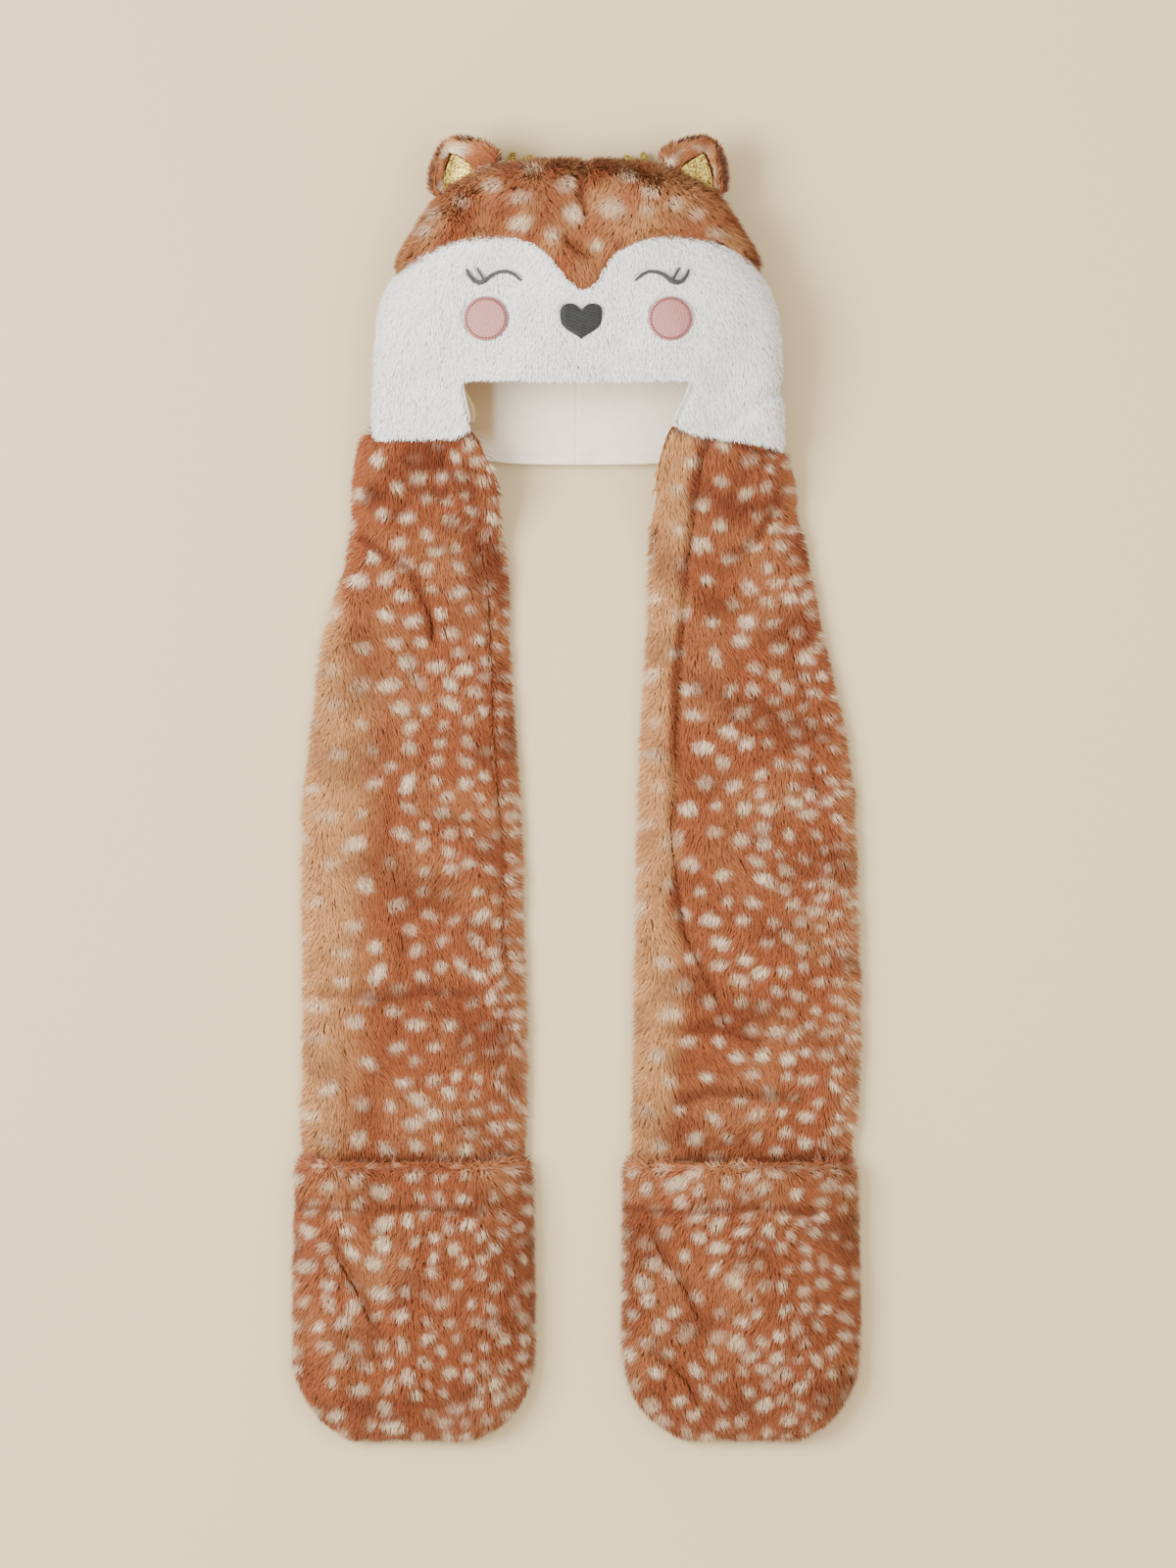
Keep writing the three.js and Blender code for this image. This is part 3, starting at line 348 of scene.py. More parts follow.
def from_hood_axis(at):
    """The way out of the hood."""
    axis = at * [AXIS_SPREAD, 1, 0] + [0, 0, AXIS_HEIGHT]
    axis[:, 1] = np.minimum(axis[:, 1], AXIS_END)
    return at - axis


def outside_hood(at, normal):
    """1 on the hood's outer side and 0 on its inner one."""
    return step(-0.1, 0.25, (unit(from_hood_axis(at)) * normal).sum(axis=1))


def into_hood(depth):
    """Straight towards the hood's inside, so that the seams stay closed."""
    def offset(at, normal):
        return -unit(from_hood_axis(at)) * (depth * outside_hood(at, normal))[:, None]
    return offset


def creased(at, creases):
    """How far each place lies into a crease, 1 on its line, and the way out of it. A crease is
    a path in millimetres with a width, and it is as deep as its share says."""
    share = np.zeros(len(at))
    away = np.zeros((len(at), 2))
    for crease in creases:
        path = np.array(crease["path"]) / 1000
        for start, end in zip(path, path[1:]):
            run = end - start
            along = np.clip((at[:, :2] - start) @ run / (run @ run), 0, 1)
            off = at[:, :2] - start - along[:, None] * run
            far = np.linalg.norm(off, axis=1) * 1000 / crease["wide"]
            here = crease["deep"] * np.exp(-(far**2))
            more = here > share
            share[more] = here[more]
            away[more] = unit(off[more])
    return share, away


def surfaces(*sources):
    """What is nearest among some of the frame's solids."""
    tops, polygons = [], []
    for source in sources:
        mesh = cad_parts[source].data
        base = len(tops)
        tops += [v.co.copy() for v in mesh.vertices]
        polygons += [[base + k for k in p.vertices] for p in mesh.polygons]
    return BVHTree.FromPolygons(tops, polygons)


def away_from(tree, points, most=0.02):
    """How far each point is from the nearest of those surfaces, up to most."""
    found = (tree.find_nearest(Vector(p), most) for p in points)
    return np.array([most if hit[3] is None else hit[3] for hit in found])


WHITE_LONG = 0.0062

# White acrylic plush: dense and dull, and so light between its hairs that it has hardly any
# shadows
white_plush, tree, surface = finish("white acrylic plush", specular=0.15, roughness=0.95)
along, tone = (
    node(tree, "Attribute", {"attribute_name": held}).outputs["Fac"] for held in ("along", "tone")
)
# Painted shade down in the pile: the hairs are a shade darker towards their roots
depth = node(tree, "ValToRGB", {"stops": [(0, "#f7f5f2"), (0.6, "#fefefc")]}, _0=along)
value = node(tree, "MapRange", {"From Min": -1, "To Min": 0.97, "To Max": 1.03}, Value=tone)
feed(tree, surface, Base_Color=node(tree, "HueSaturation", Color=depth, Value=value))

# Soft folds of the right cheek flap, where it turns down to its scarf end
FLAP_FOLDS = [
    {"path": [(110, 301), (108.8, 287), (105, 270)], "wide": 7, "deep": 0.6},
    {"path": [(130, 256), (114, 243.5), (94, 230.5)], "wide": 5, "deep": 1.0},
    {"path": [(112, 274.5), (98.8, 259), (83, 245)], "wide": 7, "deep": 0.5},
    {"path": [(-112, 236), (-104, 246), (-101, 262)], "wide": 6, "deep": 0.35},
]


def into_face(at, normal):
    """The face's cloth is drawn in for its pile, and sinks into the flap's folds."""
    fold = creased(at, FLAP_FOLDS)[0]
    return into_hood(0.0032)(at, normal) * (1 + 0.9 * fold)[:, None]


stitched = surfaces("nose", "cheek_left", "cheek_right", "lash_left", "lash_right")


def clipped_beside(sewn_on, bare, short, left):
    """No hair is rooted nearer than bare to what is sewn on the pile, and one whose tip would
    come nearer than short is clipped to the share that is left."""
    def clip(root, tip):
        over = np.where(away_from(sewn_on, tip, 0.007) < short, left, 1.0)
        return np.where(away_from(sewn_on, root, 0.007) < bare, 0.0, over)
    return clip


def face_and_hems(at, normal):
    """The pile also fringes the edges that look down, which are turned over the lining."""
    return np.maximum(outside_hood(at, normal), 0.9 * step(0.15, 0.6, -normal[:, 1]))


def down_and_out(at, up):
    """Pile that lies towards the hem and spreads to the sides."""
    way = np.zeros_like(at) + [0, -1, 0]
    way[:, 0] += 2.2 * at[:, 0] + 0.35 * drift(at, 0.06, 5)
    return way


face_cloth = cloth_from("face", "face_cloth", white_plush, drawn_in=into_face)
face_pile = pile(
    "face_pile", face_cloth, white_plush, count=58000, long=WHITE_LONG, wide=0.00064, lift=0.62,
    nap=down_and_out, grows=face_and_hems, seed=11, lock=0.3,
    clip=clipped_beside(stitched, bare=0.0017, short=0.0018, left=0.38),
)
stands_for(face_cloth, "face", "white fur", face_pile)


# The hood's crown and back
# Fawn plush with a longer pile, printed with pale spots. The crown comes to a peak between
# the eyes and has a dart up its middle. The back panel hangs lower and ends at the nape.

FAWN_LONG = 0.0092
CROWN_LONG = 0.0112
FAWN = "#8c4a2a"
FAWN_TIPS = "#9f5f3b"
FAWN_ROOTS = "#844526"
TAN = "#be8858"
SPOT = "#ead5b4"
# The spots' roots are painted darker, as painted shade down in the pile
SPOT_ROOTS = "#cda98a"
# Dark brown for painted shade in the creases, folds and seams, and for the random mottle of crushed
# pile
SHADE_AND_MOTTLE_BROWN = "#5f2811"
BLADE_WIDE = 0.00068

# Printed acrylic plush: the print colours the upper part of each hair, and the roots keep the dark
# ground colour, darkened a little more as painted shade down in the pile
fawn_plush, tree, surface = finish(
    "printed fawn plush", specular=0.2, roughness=0.85, Sheen_Weight=0.15, Sheen_Roughness=0.5
)
along, tone, spot, band, parted = (
    node(tree, "Attribute", {"attribute_name": held}).outputs["Fac"]
    for held in ("along", "tone", "spot", "band", "parted")
)

above_roots, near_tips, above_pale_roots = (
    node(tree, "MapRange", reach, Value=along)
    for reach in ({"From Max": 0.5}, {"From Min": 0.6}, {"From Max": 0.6})
)
brown = node(
    tree, "MixRGB", {"Color1": linear(FAWN_ROOTS), "Color2": linear(FAWN)}, Fac=above_roots
)
brown = node(tree, "MixRGB", {"Color2": linear(FAWN_TIPS)}, Color1=brown, Fac=near_tips)
brown = node(tree, "MixRGB", {"Color2": linear(TAN)}, Color1=brown, Fac=band)
# The pale spots are painted darker towards their roots, as painted shade
pale = node(
    tree, "MixRGB", {"Color1": linear(SPOT_ROOTS), "Color2": linear(SPOT)}, Fac=above_pale_roots
)
printed = node(tree, "MixRGB", Color1=brown, Color2=pale, Fac=spot)
# Painted shade: the creases, folds and seams and a line by each pocket's mouth are painted towards
# dark brown, and so are random darker patches where the pile is crushed
shade_and_mottle_share = node(tree, "MapRange", {"To Max": 0.8}, Value=parted)
printed = node(tree, "MixRGB", {"Color2": linear(SHADE_AND_MOTTLE_BROWN)}, Color1=printed, Fac=shade_and_mottle_share)
value = node(tree, "MapRange", {"From Min": -1, "To Min": 0.78, "To Max": 1.2}, Value=tone)
feed(tree, surface, Base_Color=node(tree, "HueSaturation", Color=printed, Value=value))

# The knitted ground that the pile is looped into: matt brown loops a millimetre apart
knit_ground, tree, surface = finish("brown knitted ground", specular=0.15, roughness=0.95)
place = node(tree, "TexCoord").outputs["Object"]
loops = node(tree, "TexNoise", {"Scale": 900, "Detail": 1}, Vector=place).outputs["Fac"]
knitted = node(
    tree, "MixRGB", {"Color1": linear("#6d3b20"), "Color2": linear("#8f5532")}, Fac=loops
)
feed(tree, surface, Base_Color=knitted)


# A spot's edge is this soft, and hair and print miss each other by this much
SPOT_SOFT = 0.0023
SPOT_STRAY = 0.0007


def spotted(at, spots, soft=SPOT_SOFT):
    """How pale the print is at each place. A spot is (x, y, half width, half height, turn,
    strength), and its edge wanders a little."""
    pale = np.zeros(len(at))
    wobble = 1 + 0.12 * drift(at, 0.008, 91)
    rng = np.random.default_rng(92)
    at = at + rng.normal(0, SPOT_STRAY, at.shape)
    for x, y, half_wide, half_tall, turn, strength in spots:
        near = np.flatnonzero(np.abs(at[:, 0] - x) + np.abs(at[:, 1] - y) < 0.03)
        dx, dy = at[near, 0] - x, at[near, 1] - y
        u = (dx * math.cos(turn) + dy * math.sin(turn)) / half_wide
        v = (dy * math.cos(turn) - dx * math.sin(turn)) / half_tall
        far = np.hypot(u, v) * wobble[near]
        size = min(half_wide, half_tall)
        inside = strength * (1 - step(1 - soft / size, 1 + soft / size, far))
        pale[near] = np.maximum(pale[near], inside)
    return pale


# The crown's spots, as they lie on its front: x, y, width and height in millimetres, from the
# hood's middle and its brow hem
CROWN_SPOTS = [
    (-55, 122, 10, 7), (-37, 114, 13, 7), (-6, 123, 13, 8), (-37, 98, 12, 9), (-2, 104, 12, 12),
    (-15, 90, 10, 8), (21, 107, 17, 12), (43, 106, 8, 7), (46, 118, 9, 6), (61, 110, 8, 6),
    (76, 104, 8, 6), (-93, 104, 9, 7), (-98, 94, 10, 7), (12, 83, 7, 6), (32, 128, 9, 6),
    (88, 92, 9, 5), (-74, 112, 8, 6), (-30, 134, 10, 6),
]
BROW_HEM_AT = (-0.0003, 0.2605)
# Each is turned and printed a little differently
crown_spots = [
    (
        BROW_HEM_AT[0] + x / 1000, BROW_HEM_AT[1] + y / 1000, wide / 2000, tall / 2000,
        0.3 * math.sin(7 * i), 0.62 + 0.16 * math.sin(5 * i),
    )
    for i, (x, y, wide, tall) in enumerate(CROWN_SPOTS)
]


def scatter(seed, box, apart, size, strength=(0.7, 1.0), lean=0.35, tries=5000):
    """Spots thrown at random, kept where none is too near. apart and size are read at each
    place, so that the print can run from large and open to small and close."""
    rng = np.random.default_rng(seed)
    kept = []
    for _ in range(tries):
        x, y = rng.uniform(box[0], box[1]), rng.uniform(box[2], box[3])
        gap = apart(x, y)
        if all(((x - k[0]) / 1.15) ** 2 + (y - k[1]) ** 2 > gap * gap for k in kept):
            wide, tall = size(x, y)
            grown = rng.uniform(0.72, 1.25)
            kept.append((
                x, y, wide * grown * rng.uniform(0.8, 1.25) / 2, tall * grown / 2,
                rng.normal(0, lean), rng.uniform(*strength),
            ))
    return kept


back_spots = scatter(
    21, (-0.14, 0.14, 0.19, 0.41), lambda x, y: 0.015, lambda x, y: (0.0095, 0.0065)
)


# The dart up the crown's middle, the hollow below it and the crown's crushed places
CROWN_CREASES = [
    {"path": [(7, 402), (2.2, 394), (1, 383), (1.5, 374), (4.5, 365)], "wide": 2.4, "deep": 1.0},
    {"path": [(-9, 349), (-2, 343), (5, 338)], "wide": 4.0, "deep": 0.8},
    {"path": [(-76, 362), (-62, 367), (-48, 366)], "wide": 5, "deep": 0.3},
    {"path": [(30, 361), (48, 365), (66, 361)], "wide": 5, "deep": 0.2},
    {"path": [(13, 352), (24, 347), (30, 338)], "wide": 4, "deep": 0.35},
]


def on_the_front(at):
    """1 on the crown's front, and 0 low down, where it turns under to the back."""
    return step(0.016, 0.026, at[:, 2])


def crown_dye(root):
    """The crown's print, with painted light and shade: spots, a lighter ground in front, painted
    light along the crest, painted shade in the dart and the other creases, and darker crushed
    patches.
    """
    front = on_the_front(root)
    pale = front * spotted(root, crown_spots, 0.0034) + (1 - front) * spotted(root, back_spots)
    # Painted light: the crest, turned away from the lamps, gets the lighter ground as well
    crest_painted_light = step(0.368, 0.385, root[:, 1])
    light = np.clip(0.34 + 0.4 * drift(root, 0.020, 33), 0, 0.8) * np.maximum(front, crest_painted_light)
    crushed = 0.3 * np.clip(drift(root, 0.026, 34) - 0.35, 0, 1)
    # Painted shade in the dart and the other creases, where the spots are left out as well
    crease = creased(root, CROWN_CREASES)[0] * front
    parted = np.maximum(0.9 * crease, crushed)
    return {"spot": pale * (1 - crease), "band": light, "parted": parted}


def into_crown(at, normal):
    """The crown's cloth is drawn in for its pile, less so at its sides, where the pile is laid
    flat, and it sinks into the dart."""
    fold = creased(at, CROWN_CREASES)[0] * on_the_front(at)
    side = step(0.05, 0.10, np.abs(at[:, 0]))
    return into_hood(0.0040)(at, normal) * (1 + 0.7 * fold - 0.6 * side)[:, None]


crown_itself = surfaces("crown")
under_crown = surfaces("face", "hood_back")


def clipped_crown(root, tip):
    """The pile is clipped a little where its tips pass the seam with the face, and in the dart."""
    past = away_from(under_crown, tip) < away_from(crown_itself, tip)
    crease = creased(root, CROWN_CREASES)[0]
    return np.where(past, 0.8, 1.0) * (1 - 0.3 * crease)


def off_the_dart(at, up):
    """The crown's pile lies forwards and down, and leans away from the dart."""
    way = np.zeros_like(at) + [0, -1, 0.15]
    way[:, 0] += 3.5 * at[:, 0] + 0.6 * drift(at, 0.045, 8)
    share, away = creased(at, CROWN_CREASES)
    way[:, :2] += 0.7 * share[:, None] * away
    return way


def down_the_back(at, up):
    """The back's pile lies down towards the nape."""
    way = np.zeros_like(at) + [0, -1, 0]
    way[:, 0] += 0.4 * drift(at, 0.05, 9)
    return way


crown_cloth = cloth_from("crown", "crown_cloth", knit_ground, drawn_in=into_crown)
crown_pile = pile(
    "crown_pile", crown_cloth, fawn_plush, count=58000, long=CROWN_LONG, wide=BLADE_WIDE,
    lift=0.7, nap=off_the_dart, grows=outside_hood, seed=12, lock=0.6, clip=clipped_crown,
    dye=crown_dye,
)
stands_for(crown_cloth, "crown", "fawn fur", crown_pile)

# The height of the back's hem
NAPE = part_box("hood_back")[0][1]


def into_back(at, normal):
    """The back's hem is turned up inside, so that only the lining shows below it."""
    way = into_hood(0.0028)(at, normal)
    way[:, 1] += 0.004 * step(NAPE + 0.012, NAPE, at[:, 1])
    return way


def clipped_nape(root, tip):
    """No hair hangs over the nape's hem."""
    return step(NAPE + 0.003, NAPE + 0.010, tip[:, 1])


back_cloth = cloth_from("hood_back", "hood_back_cloth", knit_ground, levels=1, drawn_in=into_back)
back_pile = pile(
    "hood_back_pile", back_cloth, fawn_plush, count=15000, long=0.0085, wide=0.0011, lift=0.4,
    nap=down_the_back, grows=outside_hood, seed=13, clip=clipped_nape,
    dye=lambda root: {"spot": spotted(root, back_spots), "band": np.zeros(len(root))},
)
stands_for(back_cloth, "hood_back", "fawn fur", back_pile)


# The lining
# Cream fleece, brushed on the side that shows. It lines the whole hood, with a seam up the
# middle of the back, and it backs the two scarf ends.

# Brushed polyester fleece: a short matted nap, so it is soft, dull and slightly uneven
fleece, tree, surface = finish(
    "brushed cream fleece", specular=0.15, roughness=0.95, Sheen_Weight=0.25
)
place = node(tree, "TexCoord").outputs["Object"]
# Tufts a millimetre and a half across, on patches of a centimetre
nap_grain = node(tree, "TexNoise", {"Scale": 620, "Detail": 3, "Roughness": 0.6}, Vector=place)
patches = node(tree, "TexNoise", {"Scale": 90, "Detail": 2}, Vector=place)
cream = node(
    tree, "MixRGB", {"Color1": linear("#e6dac4"), "Color2": linear("#f3ebdb")}, Fac=patches
)
# Painted shade: the lining's left corner, in the shadow of the flap, is painted tan
sewn = node(tree, "SeparateXYZ", _0=place)
SMOOTH = {"interpolation_type": "SMOOTHSTEP"}
CORNER = {"X": (-0.049, -0.057), "Y": (0.210, 0.232)}
beside, above = (
    node(tree, "MapRange", {**SMOOTH, "From Min": low, "From Max": high}, Value=sewn.outputs[axis])
    for axis, (low, high) in CORNER.items()
)
corner_painted_shade = node(tree, "Math", {"operation": "MULTIPLY"}, _0=beside, _1=above)
cream = node(tree, "MixRGB", {"Color2": linear("#bfa27a")}, Color1=cream, Fac=corner_painted_shade)
matted = node(
    tree, "MixRGB", {"Fac": 0.35},
    Color1=nap_grain.outputs["Color"], Color2=patches.outputs["Color"],
)
raised = node(tree, "Bump", {"Strength": 0.7, "Distance": 0.0012}, Height=matted)
# The seam up the middle of the hood's lining, and the row of stitches above its hem, each a
# narrow groove in the nap
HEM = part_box("hood_fleece")[0][1]
SEWN_LINES = [
    {"across": "X", "at": -0.0012, "wide": 0.0026},
    {"across": "Y", "at": HEM + 0.008, "wide": 0.0016},
]
clear = []
for line in SEWN_LINES:
    off = sewn.outputs[line["across"]]
    off = node(tree, "Math", {"operation": "SUBTRACT", 1: line["at"]}, _0=off)
    off = node(tree, "Math", {"operation": "ABSOLUTE"}, _0=off)
    clear.append(node(tree, "MapRange", {**SMOOTH, "From Max": line["wide"]}, Value=off))
clear = node(tree, "Math", {"operation": "MULTIPLY"}, _0=clear[0], _1=clear[1])
grooves = node(tree, "Bump", {"Strength": 0.35, "Distance": 0.0016}, Height=clear, Normal=raised)
feed(tree, surface, Base_Color=cream, Normal=grooves)


def past_the_flap(at, normal):
    """The lining rolls out past the left flap's edge, where it shows as a thin strip, and is
    turned up inside the flaps' hems."""
    low = step(0.256, 0.240, at[:, 1])
    rolled = step(0.035, 0.045, at[:, 2]) * step(0.04, 0.05, np.abs(at[:, 0])) * low
    turned = step(0.066, 0.078, np.abs(at[:, 0])) * low
    return np.stack([0.0042 * rolled, 0.0035 * turned, 0 * low], axis=1)


lining = cloth_from("hood_fleece", "lining", fleece, drawn_in=past_the_flap)
stands_for(lining, "hood_fleece", "cream fleece")


# The scarf ends
# One long strip a side, printed so that a tan edge runs down its left and the spots get
# smaller and closer to its right. The inner edge of the right one is rolled over.

SCARF_MIDDLE = {"left": -0.1035, "right": 0.1025}
SCARF_HALF = 0.074


def edges_of(side, apart=0.012, near_enough=0.014):
    """Where the strip's left and right edges run, row by row."""
    at = np.array([v.co[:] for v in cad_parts[f"scarf_{side}"].data.vertices])
    rows = np.arange(at[:, 1].min() + apart, at[:, 1].max(), apart)
    near = [at[np.abs(at[:, 1] - row) < near_enough, 0] for row in rows]
    return rows, [row.min() for row in near], [row.max() for row in near]


ARM_EDGES = {side: edges_of(side) for side in ("left", "right")}


def arm_across(side, x):
    """0 at the left edge of a scarf end and 1 at its right one."""
    return (x - SCARF_MIDDLE[side]) / (2 * SCARF_HALF) + 0.5


# Where the tan edge ends on each scarf end at each height, and how softly, in metres
TAN_EDGE = {
    "left": {
        "y": [-0.24, -0.19, -0.10, 0.00, 0.06, 0.11, 0.16],
        "x": [-0.150, -0.146, -0.140, -0.136, -0.132, -0.150, -0.170],
        "soft": [0.016, 0.016, 0.018, 0.020, 0.018, 0.014, 0.012],
    },
    "right": {
        "y": [-0.24, -0.13, -0.08, 0.07, 0.15, 0.22],
        "x": [0.060, 0.066, 0.061, 0.061, 0.068, 0.072],
        "soft": [0.012, 0.012, 0.005, 0.004, 0.004, 0.004],
    },
}


def tan_at(side, at):
    """How tan the print's ground is at each place."""
    chart = TAN_EDGE[side]
    edge, soft = (np.interp(at[:, 1], chart["y"], chart[what]) for what in ("x", "soft"))
    x = at[:, 0] + 0.004 * drift(at, 0.04, 41)
    return 1 - step(edge - soft, edge + soft, x)


# The print's spots from the left edge of a scarf end, 0, to its right one, 1: how far apart
# they are, how wide, and how tall for their width
ARM_PRINT = {
    "apart": ([0, 0.3, 0.6, 1], [0.021, 0.0155, 0.0107, 0.0088]),
    "wide": ([0, 0.3, 0.6, 1], [0.0128, 0.0100, 0.0080, 0.0072]),
    "tall": ([0, 0.2, 0.8, 1], [0.45, 0.72, 0.66, 0.48]),
}


def closer_to_the_right(side, seed):
    """The spots of a scarf end."""
    def charted(what, x):
        return float(np.interp(arm_across(side, x), *ARM_PRINT[what]))

    def size(x, y):
        wide = charted("wide", x)
        return wide, wide * charted("tall", x)

    middle = SCARF_MIDDLE[side]
    box = (middle - SCARF_HALF - 0.004, middle + SCARF_HALF + 0.004, -0.24, 0.23)
    return scatter(
        seed, box, lambda x, y: charted("apart", x), size, strength=(0.55, 1.0), tries=12000
    )


# Creases of the two scarf ends: the groove beside each rolled edge, the crushed fur below the
# hood, the folds across, and the shadowed root line under each pocket's mouth
ARM_CREASES = {
    "left": [
        {"path": [(-71, 203), (-62, 160), (-57, 118), (-55, 60), (-50, -20), (-47, -105)],
         "wide": 4.4, "deep": 0.7},
        {"path": [(-137, 160), (-121, 148), (-107, 140), (-94, 112), (-93, 98)],
         "wide": 3.2, "deep": 1.0},
        {"path": [(-118, 205), (-104, 192), (-86, 188)], "wide": 7, "deep": 0.7},
        {"path": [(-112, 182), (-118, 172)], "wide": 6, "deep": 0.7},
        {"path": [(-86, 214), (-80, 200), (-73, 190)], "wide": 3.5, "deep": 0.8},
        {"path": [(-88, 155), (-70, 148)], "wide": 5, "deep": 0.55},
        {"path": [(-107, 86), (-103, 70)], "wide": 6, "deep": 0.4},
        {"path": [(-162, -127), (-130, -131), (-98, -126), (-66, -130)], "wide": 5.5, "deep": 0.8},
        {"path": [(-122, -20), (-112, -95), (-118, -165)], "wide": 7, "deep": 0.3},
        {"path": [(-150, -160), (-147, -215)], "wide": 4, "deep": 0.35},
    ],
    "right": [
        {"path": [(86, 228), (77, 212), (72, 180), (68, 150), (62.5, 90), (60, 40), (58, -20),
                  (61, -60), (66, -90)], "wide": 3.6, "deep": 0.85},
        {"path": [(66, -90), (76, -108), (84, -122), (92, -146)], "wide": 3.4, "deep": 0.7},
        {"path": [(127, 184), (118, 170), (112, 158), (96, 150)], "wide": 3.2, "deep": 0.8},
        {"path": [(118, 214), (106, 205), (98, 190)], "wide": 7, "deep": 0.35},
        {"path": [(100, 146), (84, 138)], "wide": 6, "deep": 0.4},
        {"path": [(58, -151), (90, -149), (112, -157)], "wide": 5.5, "deep": 0.8},
        {"path": [(64, -196), (82, -190), (140, -194)], "wide": 4.5, "deep": 0.8},
        {"path": [(140, -30), (146, -90), (138, -150)], "wide": 7, "deep": 0.3},
        {"path": [(128, 118), (143, 60), (150, 0)], "wide": 4, "deep": 0.45},
    ],
}
# The height of the pockets' mouths
POCKET_TOP = -0.237
at_the_seam = surfaces("face", "hood_fleece")


def arm_shade_and_mottle(side, at):
    """Painted shade in the creases, over the crushed fur between them, and painted shade in lines
    along the pocket's mouth and the hood's seam.
    """
    share = creased(at, ARM_CREASES[side])[0]
    rough = 0.6 + 0.5 * step(0.10, 0.19, at[:, 1])
    crushed = 0.05 + rough * np.clip(drift(at, 0.030, 45) - 0.1, 0, 1)
    # A painted shadow line just above the pocket's mouth
    mouth = 0.95 * np.exp(-(((at[:, 1] - POCKET_TOP - 0.0035) / 0.004) ** 2))
    # Painted shade where the strip runs under the face and the lining
    seam = 0.7 * step(0.006, 0.0, away_from(at_the_seam, at))
    return np.maximum.reduce([share, crushed, mouth, seam])


def top_of_scarf(at, normal):
    """The pile grows on all but the underside."""
    return step(-0.45, 0.0, normal[:, 2])


# How far the strips' cloth is drawn in: from the sides and the tip, from the top, and more in a
# crease. At the hood it is slid up under the flaps.
IN_FROM_SIDES = 0.0065
IN_FROM_TOP = 0.0040
IN_A_CREASE = 0.0020
UNDER_FLAPS = 0.0050


def into_scarf(side, creases):
    """Into the strip from its sides and tip and from its top, less so beside the hood."""
    def offset(at, normal):
        out = (at[:, 0] - SCARF_MIDDLE[side]) / SCARF_HALF
        tip = step(-0.28, -0.41, at[:, 1])
        top = step(-0.1, 0.2, normal[:, 2])
        lower = 0.45 + 0.55 * step(0.2, 0.1, at[:, 1])
        fold = creased(at, creases)[0]
        down = IN_FROM_TOP * normal[:, 2] + IN_A_CREASE * fold
        up = IN_FROM_SIDES * tip + UNDER_FLAPS * step(0.205, 0.221, at[:, 1])
        return np.stack([-IN_FROM_SIDES * out * lower, up, -down * top], axis=1)
    return offset


def outward_nap(side):
    """The pile of a scarf end lies down its length, and spreads outwards at its edges."""
    def way(at, up):
        rows, low, high = ARM_EDGES[side]
        low, high = np.interp(at[:, 1], rows, low), np.interp(at[:, 1], rows, high)
        across = (at[:, 0] - low) / (high - low) * 2 - 1
        out = np.sign(across) * step(0.72, 1.0, np.abs(across)) * 1.2
        way = np.zeros_like(at) + [0.18, -1, 0]
        way[:, 0] += out + 0.4 * drift(at, 0.05, 44)
        # Where the sides are steep the hairs point away from the strip, most so at the hood
        way += up * [1, 1, 0] * (1.2 + 1.2 * step(0.13, 0.17, at[:, 1]))[:, None]
        share, away = creased(at, ARM_CREASES[side])
        way[:, :2] += 0.45 * share[:, None] * away
        return way
    return way


for side, seed in (("left", 51), ("right", 52)):
    spots = closer_to_the_right(side, seed)

    def arm_dye(root):
        tan = tan_at(side, root)
        parted = arm_shade_and_mottle(side, root)
        # The spots are dimmed in the painted shade as well
        pale = spotted(root, spots) * (1 - 0.3 * tan) * (1 - 0.5 * parted)
        rim = 0.4 * step(0.88, 1.0, arm_across(side, root[:, 0]))
        light = np.maximum(rim, 0.22 * np.clip(drift(root, 0.035, 46), 0, 1))
        return {"spot": pale, "band": np.maximum(tan, light), "parted": parted * (1 - 0.35 * tan)}

    def in_the_crease(root, tip):
        # Shorter in the creases, where the hairs are pushed down
        return 1 - 0.35 * creased(root, ARM_CREASES[side])[0]

    def above_the_pocket(at, normal):
        # Hardly any under the pocket
        hidden = step(-0.225, -0.245, at[:, 1])
        # Up at the hood, where the strip climbs, the rim's pile hides its inner side
        inner = normal[:, 0] * (1 if side == "left" else -1)
        bare = step(0.13, 0.17, at[:, 1]) * step(0.35, 0.6, inner)
        return top_of_scarf(at, normal) * (1 - 0.97 * hidden) * (1 - bare)

    scarf = cloth_from(
        f"scarf_{side}", f"scarf_{side}_cloth", knit_ground,
        drawn_in=into_scarf(side, ARM_CREASES[side]),
    )
    hair = pile(
        f"scarf_{side}_pile", scarf, fawn_plush, count=90000, long=FAWN_LONG, wide=BLADE_WIDE,
        lift=0.5, nap=outward_nap(side), grows=above_the_pocket, seed=seed, lock=0.28,
        clip=in_the_crease, dye=arm_dye,
    )
    stands_for(scarf, f"scarf_{side}", "fawn fur", hair)

    reverse = cloth_from(
        f"scarf_fleece_{side}", f"scarf_{side}_fleece", fleece, levels=1,
        drawn_in=lambda at, normal: into_scarf(side, [])(at, normal) * [1, 1, 0],
    )
    stands_for(reverse, f"scarf_fleece_{side}", "cream fleece")


# The pockets
# A shorter piece of the same plush is sewn over the tip of each scarf end, open upwards
# with a turned hem. Its print is a little coarser.

